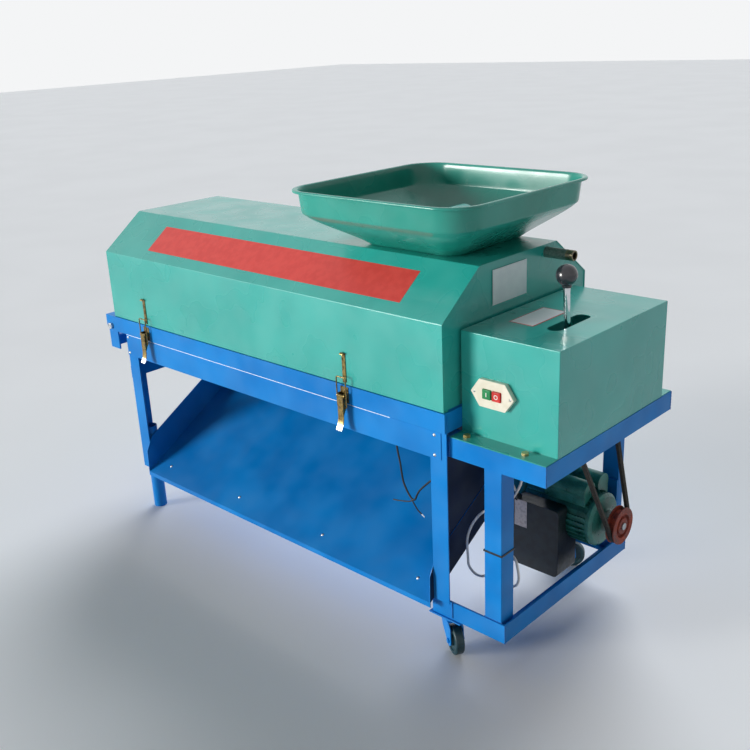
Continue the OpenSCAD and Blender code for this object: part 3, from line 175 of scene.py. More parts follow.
def enamel(name, tones, gloss, shine, coat):
    """Air-dried alkyd enamel, sprayed on sheet and angle iron: a gloss film with a faint orange
    peel, and cover that varies in patches a hand wide, with a slightly paler bloom on it."""
    material, tree, shader, place = start_material(name)
    cover = ramp(tree, patches(tree, place, 170, 2), [(0.3, tones[0]), (0.7, tones[1])])
    bloom = spread(tree, patches(tree, place, 80, 1), 0, 0.04, 0.2, 0.85)
    mixed = add(tree, "Mix", {"data_type": "RGBA"})
    tree.links.new(bloom, mixed.inputs[0])
    tree.links.new(cover, mixed.inputs[6])
    mixed.inputs[7].default_value = linear("#C3D2D4")
    tree.links.new(mixed.outputs[2], shader.inputs["Base Color"])
    tree.links.new(spread(tree, patches(tree, place, 90, 1), gloss[0], gloss[1]),
                   shader.inputs["Roughness"])
    relief(tree, shader, patches(tree, place, 14, 0), 0.004)
    shader.inputs["Specular IOR Level"].default_value = shine
    shader.inputs["Coat Weight"].default_value = coat
    shader.inputs["Coat Roughness"].default_value = 0.12
    return material


def plated(name, tones, gloss, grain=1.2):
    """Zinc plate on pressed steel: bright metal whose passivate drifts in tint from spot to
    spot, with the faint rolling grain of the strip under it."""
    material, tree, shader, place = start_material(name)
    tint = ramp(tree, patches(tree, place, 14, 3), [(0.32, tones[0]), (0.5, tones[1]),
                                                    (0.68, tones[2])])
    tree.links.new(tint, shader.inputs["Base Color"])
    tree.links.new(spread(tree, patches(tree, place, 6, 4), gloss[0], gloss[1]),
                   shader.inputs["Roughness"])
    relief(tree, shader, patches(tree, place, grain, 3, (1, 1, 0.25)), 0.012)
    shader.inputs["Metallic"].default_value = 1.0
    return material


def moulded(name, tones, gloss, grain=0.8, depth=0.01, coat=0.0):
    """Injection-moulded plastic or rubber: an even colour that is a touch worn and handled,
    with the fine spark grain of the mould."""
    material, tree, shader, place = start_material(name)
    tint = ramp(tree, patches(tree, place, 22, 4), [(0.35, tones[0]), (0.65, tones[1])])
    tree.links.new(tint, shader.inputs["Base Color"])
    tree.links.new(spread(tree, patches(tree, place, 9, 3), gloss[0], gloss[1]),
                   shader.inputs["Roughness"])
    relief(tree, shader, patches(tree, place, grain, 2), depth)
    shader.inputs["Coat Weight"].default_value = coat
    return material


def casting(name, tones, gloss, grain=1.6, depth=0.12):
    """Sand casting under a thin brushed or dipped paint: pitted skin that goes from dark, where
    oil and dirt sit in the pits, to pale on the high places."""
    material, tree, shader, place = start_material(name)
    pits = patches(tree, place, grain, 4)
    stain = patches(tree, place, 26, 5)
    both = add(tree, "Math", {"operation": "ADD"}, {0: pits, 1: stain}).outputs["Value"]
    halved = add(tree, "Math", {"operation": "MULTIPLY", 1: 0.5}, {0: both}).outputs["Value"]
    tint = ramp(tree, halved, [(0.38, tones[0]), (0.5, tones[1]), (0.62, tones[2])])
    tree.links.new(tint, shader.inputs["Base Color"])
    tree.links.new(spread(tree, stain, gloss[0], gloss[1]), shader.inputs["Roughness"])
    relief(tree, shader, pits, depth)
    return material


HOOD_GREEN = enamel("green_gloss_enamel_on_sheet", ("#1FA69C", "#2AB1A6"), (0.24, 0.34), 0.6, 0.3)
BASIN_GREEN = enamel("green_gloss_enamel_on_pressed_bowl", ("#1C9080", "#269F8F"), (0.18, 0.3),
                     0.4, 0.15)
FRAME_BLUE = enamel("blue_gloss_enamel_on_angle_iron", ("#0077C8", "#0087DA"), (0.28, 0.4), 0.14,
                    0.0)
# Dark navy painted shade: the splash sheet and the tray's drive-end face are darkened to stand for
# the shadow they sit in beside the drive cover
PAINTED_SHADE_NAVY = enamel("painted_shade_navy_enamel", ("#061B38", "#082449"), (0.34, 0.46), 0.14, 0.0)
MOTOR_GREEN = casting("motor_green_enamel_on_casting", ("#1B5650", "#28776C", "#388A7E"),
                      (0.26, 0.46))
BOX_BLACK = moulded("black_bakelite_terminal_box", ("#10191E", "#18242A"), (0.3, 0.46))
IRON = casting("grey_enamel_on_cast_iron", ("#23282C", "#3B4347", "#4C5457"), (0.4, 0.65))
PULLEY_RED = casting("red_primer_on_cast_pulley", ("#3A1712", "#7C3023", "#A5472F"),
                     (0.5, 0.8), 2.4, 0.25)
PIPE_GREY = casting("dull_galvanised_pipe_with_overspray", ("#4E615B", "#6D7D76", "#87948C"),
                    (0.35, 0.55), 3.0, 0.05)
BRIGHT_ZINC = plated("bright_zinc_on_steel", ("#A9AFB4", "#C4C8CB", "#B5B8B2"), (0.22, 0.42))
YELLOW_ZINC = plated("yellow_zinc_on_steel", ("#8B7B4A", "#B7A672", "#8C8A74"), (0.26, 0.48))
LATCH_BRONZE = plated("tarnished_yellow_zinc_on_spring_steel", ("#57482C", "#8B7748", "#6E6350"),
                      (0.24, 0.44))
BRUSHED_STEEL = plated("turned_steel_shaft", ("#8E9498", "#A2A7AA", "#969A9B"), (0.24, 0.4), 0.8)
CHROME = plated("polished_chrome_rod", ("#C9CED2", "#DADDDF", "#CFD3D6"), (0.06, 0.14), 0.5)
OLD_BRASS = plated("dull_brass_fitting", ("#5F584A", "#8A8068", "#6F6A5C"), (0.32, 0.5))
# Pale bare steel: real on the worn latch lips and the tie's tip, a painted highlight on the apron
# strips
BARE_STEEL_AND_HIGHLIGHT = plated("bare_steel_and_painted_edge_highlight", ("#DDE6EB", "#EEF4F7", "#E2EAEE"), (0.3, 0.5))
KNOB_BLACK = moulded("black_phenolic_knob", ("#26262C", "#2E2E36"), (0.16, 0.26), 0.6, 0.004, 0.3)
BELT_RUBBER = moulded("fabric_faced_belt_rubber", ("#17140F", "#26211A"), (0.7, 0.9), 0.9, 0.06)
SWITCH_CREAM = moulded("cream_abs_switch_plate", ("#E3DDC8", "#EBE6D4"), (0.3, 0.42))
BUTTON_GREEN = moulded("green_abs_button", ("#0B7F45", "#0F8C4E"), (0.26, 0.36))
BUTTON_RED = moulded("red_abs_button", ("#C8201B", "#D62A23"), (0.26, 0.36))
MARK_WHITE = moulded("white_ink_mark", ("#E8E6DE", "#F0EEE6"), (0.5, 0.6))
FAN_BLACK = moulded("black_nylon_fan", ("#15171A", "#1D2023"), (0.4, 0.55))
WHEEL_TEAL = moulded("teal_rubber_tread", ("#12333A", "#1A434B"), (0.32, 0.5), 1.2, 0.03)
WIRE_WHITE = moulded("pale_pvc_sheath", ("#E2DED8", "#ECE8E2"), (0.38, 0.52), 1.5, 0.02)
WIRE_BLACK = moulded("black_pvc_sheath", ("#101418", "#1B2025"), (0.36, 0.5), 1.5, 0.02)
BRISTLE = moulded("black_nylon_bristle", ("#14161C", "#262A33"), (0.45, 0.65), 0.7, 0.08)
BANNER_RED = moulded("red_vinyl_banner", ("#D83E38", "#E04841"), (0.3, 0.42), 2.0, 0.006)
LABEL_WHITE = moulded("white_vinyl_label", ("#F1F3F6", "#F6F8FA"), (0.32, 0.44), 2.0, 0.006)
LABEL_RED = moulded("red_ink_on_label", ("#CF4A45", "#D8534C"), (0.34, 0.46), 2.0, 0.004)
PLATE_SILVER = plated("anodised_blank_plate", ("#A59A98", "#B8AEAB", "#9C9694"), (0.34, 0.5))
WELD = casting("blue_enamel_over_weld", ("#03549A", "#0567B4", "#0A78CA"), (0.3, 0.5), 2.0, 0.15)


# Shapes

def finish_mesh(name, shape, material, smooth=38):
    """Turns a bmesh into an object at the origin, smooth shaded with hard edges kept."""
    mesh = bpy.data.meshes.new(name)
    shape.to_mesh(mesh)
    shape.free()
    mesh.materials.append(material)
    mesh.shade_smooth()
    mesh.set_sharp_from_angle(angle=math.radians(smooth))
    made = bpy.data.objects.new(name, mesh)
    bpy.context.scene.collection.objects.link(made)
    return made


def close_up(shape):
    bmesh.ops.remove_doubles(shape, verts=shape.verts, dist=mm(0.01))
    bmesh.ops.recalc_face_normals(shape, faces=shape.faces)


def settle(made, body, slot, *nodes):
    """Rides a finished piece on its body and hides the nodes it stands for."""
    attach(made, body)
    if nodes:
        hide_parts(*nodes)
    return made


def piece(name, shape, material, body, slot, *nodes, smooth=38):
    close_up(shape)
    return settle(finish_mesh(name, shape, material, smooth), body, slot, *nodes)


def soften(made, width, segments=2):
    """Rounds every hard edge a little, as paint and handling do."""
    edges = made.modifiers.new("eased_edges", "BEVEL")
    edges.width = mm(width)
    edges.segments = segments
    edges.limit_method = "ANGLE"
    edges.angle_limit = math.radians(34)
    edges.miter_outer = "MITER_ARC"
    flat = made.modifiers.new("even_shading", "WEIGHTED_NORMAL")
    flat.keep_sharp = True
    return made


def block(shape, low, high):
    """Box between two corners in the source's millimetres."""
    a, b = at(*low), at(*high)
    middle, size = (a + b) / 2, b - a
    grow = Matrix.Translation(middle) @ Matrix.Diagonal((*size, 1))
    return bmesh.ops.create_cube(shape, size=1, matrix=grow)["verts"]


def lined_up(start, end):
    """Turn and move that carries the Z axis onto the line from start to end."""
    turn = (end - start).to_track_quat("Z", "Y").to_matrix().to_4x4()
    return Matrix.Translation((start + end) / 2) @ turn


def rod(shape, start, end, radius, tip, sides):
    """Capped round bar between two points in millimetres; tip is its radius at the end."""
    a, b = at(*start), at(*end)
    bmesh.ops.create_cone(shape, cap_ends=True, segments=sides, radius1=mm(radius),
                          radius2=mm(tip), depth=(b - a).length, matrix=lined_up(a, b))


def turned(shape, outline, centre, axis, steps):
    """Lathe work: outline is (radius, distance along the axis) in millimetres."""
    middle, line = at(*centre), Vector(axis).normalized()
    out = line.orthogonal().normalized()
    spots = [shape.verts.new(middle + out * mm(r) + line * mm(a)) for r, a in outline]
    edges = [shape.edges.new(pair) for pair in zip(spots, spots[1:])]
    bmesh.ops.spin(shape, geom=spots + edges, cent=middle, axis=line, angle=FULL_TURN,
                   steps=steps, use_merge=True)


def pulled(shape, corners, step):
    """Flat outline of points in the row frame, pulled along a vector."""
    face = shape.faces.new([shape.verts.new(c) for c in corners])
    grown = bmesh.ops.extrude_face_region(shape, geom=[face])
    moved = [v for v in grown["geom"] if isinstance(v, bmesh.types.BMVert)]
    bmesh.ops.translate(shape, verts=moved, vec=step)


def smooth_route(points, steps):
    """The same smooth line through the route's points as the source sweeps: Catmull-Rom."""
    line = []
    for i in range(len(points) - 1):
        a, b = points[max(i - 1, 0)], points[i]
        c, d = points[i + 1], points[min(i + 2, len(points) - 1)]
        for k in range(steps):
            t = k / steps
            line.append(0.5 * (2 * b + (c - a) * t + (2 * a - 5 * b + 4 * c - d) * t * t
                               + (3 * b - a - 3 * c + d) * t ** 3))
    return line + [points[-1]]


def wire(name, points, diameter, material, steps, sides):
    """Round wire as a curve of one open spline, with this many steps from point to point."""
    line = smooth_route(points, steps)
    curve = bpy.data.curves.new(name, "CURVE")
    curve.dimensions = "3D"
    curve.bevel_depth = mm(diameter) / 2
    curve.bevel_resolution = sides
    curve.use_fill_caps = True
    spline = curve.splines.new("POLY")
    spline.points.add(len(line) - 1)
    for spot, place in zip(spline.points, line):
        spot.co = (*place, 1)
    curve.materials.append(material)
    made = bpy.data.objects.new(name, curve)
    bpy.context.scene.collection.objects.link(made)
    return made


# Cords

MOTOR_LEAD_ROUTE = [
    (101, -236, 723), (101, -224, 722), (105, -207, 715), (113, -196, 701), (124, -193, 685),
    (138, -196, 663), (152, -202, 634), (162, -208, 598), (165, -212, 555), (158, -214, 510),
    (142, -214, 474), (118, -214, 443), (54, -213, 400), (24, -211, 368), (2, -208, 330),
    (-9, -206, 292), (-8, -205, 245), (-5, -205, 220), (15, -205, 204), (40, -205, 207),
    (56, -205, 227), (66, -206, 258), (82, -208, 283), (96, -208, 300), (118, -207, 304),
    (137, -206, 293), (144, -206, 272), (146, -203, 240), (135, -200, 215), (110, -196, 204),
    (85, -193, 215), (74, -190, 240), (58, -187, 276), (32, -184, 354), (32, -172, 388),
    (40, -142, 411), (36, -104, 420), (12, -56, 412), (-20, -4, 376), (-46, 68, 293),
]
MOTOR_LEAD_D = 6.5
SLACK_LEAD_ROUTE = [
    (-160, -290, 560), (-160, -290, 546), (-158, -290, 530), (-154, -290, 512),
    (-150, -290, 494), (-147, -290, 472), (-142, -290, 448), (-133, -290, 430),
    (-123, -290, 416), (-113, -290, 408), (-105, -290, 411), (-100, -290, 422),
    (-91, -290, 438), (-78, -290, 453), (-62, -290, 469), (-46, -290, 484),
]
SLACK_LEAD_D = 5


def leads():
    """The sheathed motor lead with its gland, and the thin slack lead with its twist tie."""
    route = [at(*p) for p in MOTOR_LEAD_ROUTE]
    motor_lead = wire("motor_lead_sheath", route, MOTOR_LEAD_D, WIRE_WHITE, 6, 4)
    settle(motor_lead, "frame", "wire_white", "motor_lead")
    shape = bmesh.new()
    turned(shape, [(0, 0), (11, 0), (11, 6), (7.5, 7), (7.5, 14), (5.2, 30), (3.4, 34), (0, 34)],
           (-46, 68.5, 289.5), Vector(route[-2] - route[-1]).normalized(), 24)
    gland = piece("motor_lead_gland", shape, BOX_BLACK, "frame", "box_black")
    slack_route = [at(*p) for p in SLACK_LEAD_ROUTE]
    slack_lead = wire("slack_lead_sheath", slack_route, SLACK_LEAD_D, WIRE_BLACK, 6, 4)
    settle(slack_lead, "frame", "wire_black", "slack_lead")
    tie = wire("slack_lead_twist_tie", [at(*p) for p in (
        (-178, -291, 388), (-162, -292, 391), (-146, -293, 395), (-130, -293.5, 399),
        (-119, -294, 403), (-112, -294, 407), (-107, -294, 402), (-101, -293, 393),
        (-94, -292, 384), (-86, -291, 378), (-80, -290, 374))], 3.4, WIRE_BLACK, 4, 2)
    settle(tie, "frame", "wire_black")
    shape = bmesh.new()
    rod(shape, (-84, -290.6, 377), (-76, -289.6, 371), 2.1, 1.5, 12)
    tip = piece("twist_tie_bare_tip", shape, BARE_STEEL_AND_HIGHLIGHT, "frame", "zinc")


leads()


# Parts of the frame that keep their solid's shape, with eased edges and their own finish

FOLD_ANGLE = math.radians(25)
FOLD_AREA = 0.01


def dressed(node, material, slot, width, bend):
    """A merged copy of a node's mesh. Folds between large faces get a bend radius."""
    source = frame["nodes"][node]
    shape = bmesh.new()
    shape.from_mesh(source.data)
    bmesh.ops.remove_doubles(shape, verts=shape.verts, dist=mm(0.02))
    bmesh.ops.dissolve_limit(shape, angle_limit=math.radians(0.6), verts=shape.verts,
                             edges=shape.edges)
    bmesh.ops.connect_verts_concave(shape, faces=shape.faces)
    if bend:
        folds = [e for e in shape.edges if len(e.link_faces) == 2 and e.is_convex
                 and e.calc_face_angle(0) > FOLD_ANGLE
                 and min(f.calc_area() for f in e.link_faces) > FOLD_AREA]
        bmesh.ops.bevel(shape, geom=folds, offset=mm(bend), segments=4, profile=0.5,
                        affect="EDGES", clamp_overlap=True, material=-1)
    made = finish_mesh(node + "_dressed", shape, material)
    settle(made, source["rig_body"], slot, node)
    return soften(made, width) if width else made


DRESSED = [
    # node, finish, slot, edge radius in mm, bend radius in mm
    ("top_rails", FRAME_BLUE, "frame_paint", 0.8, 0),
    ("legs", FRAME_BLUE, "frame_paint", 0.8, 0),
    ("left_feet", FRAME_BLUE, "frame_paint", 0.8, 0),
    ("drive_ring", FRAME_BLUE, "frame_paint", 0.8, 0),
    ("drive_posts", FRAME_BLUE, "frame_paint", 1.0, 2.5),
    ("base_rails", FRAME_BLUE, "frame_paint", 0.8, 0),
    ("apron_plates", FRAME_BLUE, "frame_paint", 0.5, 0),
    ("frame_screws", BRIGHT_ZINC, "zinc", 0, 0),
    ("tray", FRAME_BLUE, "frame_paint", 0.4, 0),
    # the splash sheet's dark navy is painted shade for the drive cover's shadow
    ("splash_panel", PAINTED_SHADE_NAVY, "frame_paint", 0.4, 0),
    ("sieve", BRUSHED_STEEL, "steel", 0, 0),
    ("bearing_bar", FRAME_BLUE, "frame_paint", 0.8, 0),
    ("bearing_housings", IRON, "cast_iron", 1.2, 0),
    ("drive_cover", HOOD_GREEN, "hood_paint", 0.4, 1.9),
    ("hex_bolts", YELLOW_ZINC, "yellow_zinc", 0.4, 0),
    ("switch_body", SWITCH_CREAM, "switch_cream", 1.4, 0),
    ("motor_frame", MOTOR_GREEN, "motor_paint", 0.5, 0),
    ("motor_end_shields", MOTOR_GREEN, "motor_paint", 1.0, 0),
    ("motor_fan_cover", MOTOR_GREEN, "motor_paint", 0.8, 0),
    ("capacitor_covers", MOTOR_GREEN, "motor_paint", 1.2, 0),
    ("terminal_box", BOX_BLACK, "box_black", 1.6, 0),
    ("motor_plate", FRAME_BLUE, "frame_paint", 0.8, 0),
    ("lever_bracket", FRAME_BLUE, "frame_paint", 0.6, 0),
    ("rail_hinge_leaves", BRIGHT_ZINC, "zinc", 0.4, 0),
    ("latch_bases", LATCH_BRONZE, "yellow_zinc", 0.4, 0),
    ("caster_plates", FRAME_BLUE, "frame_paint", 0.6, 0),
    ("outlet_chute", FRAME_BLUE, "frame_paint", 0.4, 0),
    ("wire_ties", WIRE_BLACK, "wire_black", 0.6, 0),
    ("hood_shell", HOOD_GREEN, "hood_paint", 0.4, 1.9),
    ("hood_end_plates", HOOD_GREEN, "hood_paint", 0.5, 0),
    ("throat_guard", HOOD_GREEN, "hood_paint", 0.5, 0),
    ("water_pipe", PIPE_GREY, "hood_paint", 0.4, 0),
    ("water_nipple", OLD_BRASS, "brass", 0.4, 0),
    ("latch_keepers", LATCH_BRONZE, "zinc", 0.3, 0),
    ("hood_hinge_leaves", BRIGHT_ZINC, "zinc", 0.4, 0),
    ("roller_shaft", BRUSHED_STEEL, "steel", 1.0, 0),
    ("brush_core", IRON, "cast_iron", 0.8, 0),
    ("roller_pulley", IRON, "cast_iron", 0.8, 0),
    ("motor_rotor", BRUSHED_STEEL, "steel", 0.8, 0),
    ("cooling_fan", FAN_BLACK, "fan_plastic", 0.5, 0),
    ("motor_pulley", PULLEY_RED, "pulley_red", 1.0, 0),
    ("clutch_lever", CHROME, "chrome", 0.6, 0),
    ("idler_wheel", IRON, "cast_iron", 0.6, 0),
    ("left_latch_lever", LATCH_BRONZE, "yellow_zinc", 0.3, 0),
    ("left_latch_loop", LATCH_BRONZE, "zinc", 0, 0),
    ("right_latch_lever", LATCH_BRONZE, "yellow_zinc", 0.3, 0),
    ("right_latch_loop", LATCH_BRONZE, "zinc", 0, 0),
    ("start_button", BUTTON_GREEN, "button_green", 1.4, 0),
    ("stop_button", BUTTON_RED, "button_red", 1.4, 0),
    ("front_caster_fork", FRAME_BLUE, "frame_paint", 0.6, 0),
    ("rear_caster_fork", FRAME_BLUE, "frame_paint", 0.6, 0),
    ("front_caster_wheel", WHEEL_TEAL, "wheel_teal", 0.6, 0),
    ("rear_caster_wheel", WHEEL_TEAL, "wheel_teal", 0.6, 0),
]
pieces = {}
for node, material, slot, width, bend in DRESSED:
    pieces[node] = dressed(node, material, slot, width, bend)


def second_finish(made, material, chosen):
    """Gives the faces whose middle passes the test a second finish."""
    made.data.materials.append(material)
    for face in made.data.polygons:
        if chosen(face.center):
            face.material_index = len(made.data.materials) - 1


# The rail-end and motor bolts are plain bright zinc, the cover's are yellow
RAIL_BOLTS_X, MOTOR_BOLTS_Z = at(-60, 0, 0).x, mm(400)
second_finish(pieces["hex_bolts"], BRIGHT_ZINC,
              lambda c: c.x < RAIL_BOLTS_X or c.z < MOTOR_BOLTS_Z)

# The latch levers' lips are worn bright
LIP_HEIGHT = mm(17)
for side in ("left", "right"):
    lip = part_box(side + "_latch_lever")[0].z + LIP_HEIGHT
    second_finish(pieces[side + "_latch_lever"], BARE_STEEL_AND_HIGHLIGHT, lambda c: c.z < lip)

# The tray's outer face at the drive end gets the same dark navy, painted shade for that shadowed
# face beside the splash sheet
TRAY_END_X = at(-46, 0, 0).x
second_finish(pieces["tray"], PAINTED_SHADE_NAVY, lambda c: c.x > TRAY_END_X)


# Feed basin

BASIN_X, BASIN_LENGTH, BASIN_WIDTH, BASIN_CORNER = -246, 561, 551, 84


def rounded_square(shape, length, width, radius):
    """Ring of edges round a rounded rectangle in millimetres about the origin."""
    grow = Matrix.Diagonal((mm(length), mm(width), 1, 1))
    square = bmesh.ops.create_grid(shape, x_segments=1, y_segments=1, size=0.5,
                                   matrix=grow)["verts"]
    bmesh.ops.bevel(shape, geom=square, offset=mm(radius), segments=10, profile=0.5,
                    affect="VERTICES", clamp_overlap=True, material=-1)
    long_edges = [e for e in shape.edges if e.calc_length() > mm(60)]
    bmesh.ops.subdivide_edges(shape, edges=long_edges, cuts=8)
    bmesh.ops.delete(shape, geom=list(shape.faces), context="FACES_ONLY")


BASIN_LEVELS = [
    # height over the hood, length, width, shift to the rear
    (2, 262, 203, -10), (1.2, 276, 240, 6), (0.8, 290, 286, 18), (4, 303, 302, 18),
    (16, 332, 328, 16), (30, 374, 368, 12.5), (46, 424, 416, 8.5), (62, 474, 465, 4.5),
    (75, 511, 501, 2), (84, 533, 523, 0.5), (89, 541, 531, 0), (91, 547, 537, 0),
    (93, 549, 539, 0), (108, 552, 542, 0), (130, 556, 546, 0), (146, 559, 549, 0),
    (150, 562, 552, 0), (151.6, 566, 556, 0), (152, 572, 562, 0), (151.8, 580, 570, 0),
    (150.2, 584, 574, 0), (147.5, 585, 575, 0), (145.4, 584, 574, 0), (144.8, 581.6, 571.6, 0),
]


def feed_basin():
    """Pressed bowl: rounded taper, step at the knee, near-upright wall and rolled rim."""
    shape = bmesh.new()
    rounded_square(shape, BASIN_LENGTH, BASIN_WIDTH, BASIN_CORNER)
    middle = at(BASIN_X, 0, HOOD_TOP)
    edges = list(shape.edges)
    start = {v: v.co.copy() for v in shape.verts}
    for step, (height, length, width, shift) in enumerate(BASIN_LEVELS):
        if step:
            grown = bmesh.ops.extrude_edge_only(shape, edges=edges)["geom"]
            fresh = [g for g in grown if isinstance(g, bmesh.types.BMVert)]
            edges = [g for g in grown if isinstance(g, bmesh.types.BMEdge)]
            rise = {}
            for v in fresh:
                below = next(e.other_vert(v) for e in v.link_edges if e.other_vert(v) in start)
                rise[v] = start[below]
            edges = [e for e in edges if all(v in rise for v in e.verts)]
            start = rise
        for v, flat in start.items():
            v.co = middle + Vector((flat.x * length / BASIN_LENGTH,
                                    flat.y * width / BASIN_WIDTH + mm(shift), mm(height)))
    close_up(shape)
    # a shallow dent low on the drive-end front corner, as the photograph shows
    dent, pull = at(-64, -205, 1034), Vector((-0.6, 0.75, 0.1)).normalized()
    depth, reach = mm(5), mm(30)
    for v in shape.verts:
        v.co += pull * depth * math.exp(-((v.co - dent).length / reach) ** 2)
    made = finish_mesh("feed_basin_pressed", shape, BASIN_GREEN, 50)
    wall = made.modifiers.new("sheet", "SOLIDIFY")
    wall.thickness = mm(1.6)
    wall.offset = -1
    fine = made.modifiers.new("pressed_curves", "SUBSURF")
    fine.levels = fine.render_levels = 1
    settle(made, "hood", "hood_paint", "feed_basin")


feed_basin()


# Brush roller: rows of tufts set in strips

def brushes():
    shape = bmesh.new()
    low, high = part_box("brush_strips")
    x0, x1 = low.x * 1000 + SOURCE_ORIGIN_X, high.x * 1000 + SOURCE_ORIGIN_X
    strips, rows, pitch = 8, 3, 14.0
    count = int((x1 - x0 - 10) / pitch)
    rng = random.Random(7)
    tip_r, root_r = 171.5, 74
    tuft = bmesh.new()
    bmesh.ops.create_cone(tuft, cap_ends=True, segments=6, radius1=mm(4.2), radius2=mm(6.4),
                          depth=mm(tip_r - root_r))
    tuft_mesh = bpy.data.meshes.new("tuft")
    tuft.to_mesh(tuft_mesh)
    tuft.free()
    for strip in range(strips):
        turn = FULL_TURN * (strip + 0.5) / strips
        for row in range(rows):
            lean = turn + (row - 1) * 0.045
            for k in range(count):
                x = x0 + 12 + pitch * (k + 0.5 * (row % 2)) + rng.uniform(-0.8, 0.8)
                mid = (tip_r + root_r) / 2 + rng.uniform(-1.5, 1.0)
                place = Matrix.Translation(
                    at(x, mid * math.cos(lean), SHAFT_Z + mid * math.sin(lean)))
                turned_to = Matrix.Rotation(lean - math.pi / 2, 4, "X")
                shape.from_mesh(tuft_mesh)
                shape.verts.ensure_lookup_table()
                fresh = shape.verts[len(shape.verts) - 12:]
                bmesh.ops.transform(shape, matrix=place @ turned_to, verts=fresh)
    bpy.data.meshes.remove(tuft_mesh)
    for strip in range(strips):
        turn = FULL_TURN * (strip + 0.5) / strips
        made = block(shape, (x0, -15, SHAFT_Z + 56), (x1, 15, SHAFT_Z + 78))
        spin = Matrix.Rotation(turn - math.pi / 2, 4, "X")
        axis = Matrix.Translation(at(0, 0, SHAFT_Z))
        bmesh.ops.transform(shape, matrix=axis @ spin @ axis.inverted(), verts=made)
    settle(finish_mesh("brush_strips_tufted", shape, BRISTLE, 30), "roller", "bristle",
           "brush_strips")


brushes()


# Belt: a V section with a fabric face

def drive_belt():
    shape = bmesh.new()
    roller, motor = Vector((0, SHAFT_Z)), Vector((170, 247))
    big, small, x = 90.0, 45.0, 206.0
    round_big, round_small = 56, 40
    gap = (motor - roller).length
    lean = math.atan2(motor.y - roller.y, motor.x - roller.x)
    open_by = math.acos((big - small) / gap)
    spots = []
    for i in range(round_big + 1):
        a = lean + open_by + (FULL_TURN - 2 * open_by) * i / round_big
        spots.append((roller, big, a))
    for i in range(round_small + 1):
        a = lean - open_by + 2 * open_by * i / round_small
        spots.append((motor, small, a))
    section = [(-6.5, 4.3), (-6.1, 4.5), (6.1, 4.5), (6.5, 4.3), (4.3, -4.3), (4.0, -4.5),
               (-4.0, -4.5), (-4.3, -4.3)]
    rings = []
    for side, out in section:
        ring = [shape.verts.new(at(x + side, c.x + (r + out) * math.cos(a),
                                   c.y + (r + out) * math.sin(a))) for c, r, a in spots]
        edges = [shape.edges.new((ring[i], ring[(i + 1) % len(ring)])) for i in range(len(ring))]
        rings.append(edges)
    for i in range(len(rings)):
        bmesh.ops.bridge_loops(shape, edges=rings[i] + rings[(i + 1) % len(rings)])
    piece("drive_belt_v_section", shape, BELT_RUBBER, "frame", "belt_rubber", "drive_belt",
          smooth=30)


drive_belt()


# Clutch knob

def clutch_knob():
    shape = bmesh.new()
    lean, centre_z = math.radians(3.6), 974
    base = Vector(LEVER_PIVOT)
    axis = Vector((0, -math.sin(lean), math.cos(lean)))
    centre = base + axis * (centre_z - base.z) / math.cos(lean)
    r = 24.9
    outline = [(0, r)]
    for i in range(1, 40):
        a = math.pi / 2 - math.pi * i / 44
        outline.append((r * math.cos(a), r * math.sin(a)))
    outline += [(11.6, -22.2), (11.2, -24), (11, -28.5), (8.1, -29), (8.1, -10), (0, -10)]
    turned(shape, outline, centre, axis, 48)
    piece("clutch_knob_turned", shape, KNOB_BLACK, "clutch", "knob_black", "lever_knob",
          smooth=50)


clutch_knob()


# Pale steel strips along the tops of the apron plates: a painted highlight standing in for the
# bright line of light along the rail and apron join

def apron_highlight_strips():
    shape = bmesh.new()
    far_end, near_end, low, high = -1322, -170, 617.1, 619.1
    for side in (-1, 1):
        y0, y1 = sorted((side * 297.8, side * 301))
        block(shape, (far_end, y0, low), (near_end, y1, high))
    # the strips' near-white steel is a painted highlight along the apron tops
    soften(piece("apron_painted_highlight_strips", shape, BARE_STEEL_AND_HIGHLIGHT, "frame", "zinc"), 0.3, 1)


apron_highlight_strips()


# Banner and labels, left bare

def sticker(name, corners, out, material, body, slot, thick=0.35):
    """Thin vinyl sheet on a face, from four corners in the source's millimetres."""
    shape = bmesh.new()
    normal = Vector(out).normalized()
    pulled(shape, [at(*c) + normal * mm(0.05) for c in corners], normal * mm(thick))
    return piece(name, shape, material, body, slot)


def upright_or_flat(corner, opposite):
    """The four corners of a rectangle, from two that share one coordinate."""
    (x0, y0, z0), (x1, y1, z1) = corner, opposite
    if x0 == x1:
        return [(x0, y0, z0), (x0, y1, z0), (x0, y1, z1), (x0, y0, z1)]
    if y0 == y1:
        return [(x0, y0, z0), (x1, y0, z0), (x1, y0, z1), (x0, y0, z1)]
    return [(x0, y0, z0), (x1, y0, z0), (x1, y1, z0), (x0, y1, z0)]


def stickers():
    foot, crown = Vector((0, *HOOD_FOLD)), Vector((0, HOOD_CROWN_Y, HOOD_TOP))
    up = crown - foot
    far_x, near_x = -1180, -150
    lower, upper = foot + up * 0.2, foot + up * 0.76
    banner = [(far_x, *lower.yz), (near_x, *lower.yz), (near_x, *upper.yz), (far_x, *upper.yz)]
    sticker("banner_bare", banner, (0, -up.z, up.y), BANNER_RED, "hood", "button_red")
    sticker("hood_end_label_bare", upright_or_flat((0, -110, 884), (0, 29, 970)), (1, 0, 0),
            LABEL_WHITE, "hood", "wire_white")
    sticker("cover_label_border", upright_or_flat((56, -123, COVER_TOP), (124, 20, COVER_TOP)),
            (0, 0, 1), LABEL_RED, "frame", "button_red")
    over = COVER_TOP + 0.3
    sticker("cover_label_bare", upright_or_flat((59, -120, over), (121, 17, over)), (0, 0, 1),
            LABEL_WHITE, "frame", "wire_white")
    sticker("motor_plate_blank", upright_or_flat((-51, BOX_FRONT_Y, 210), (-11, BOX_FRONT_Y, 290)),
            (0, -1, 0), PLATE_SILVER, "frame", "zinc", 0.8)


stickers()


# Switch: screws at its tips and the generic marks on its buttons

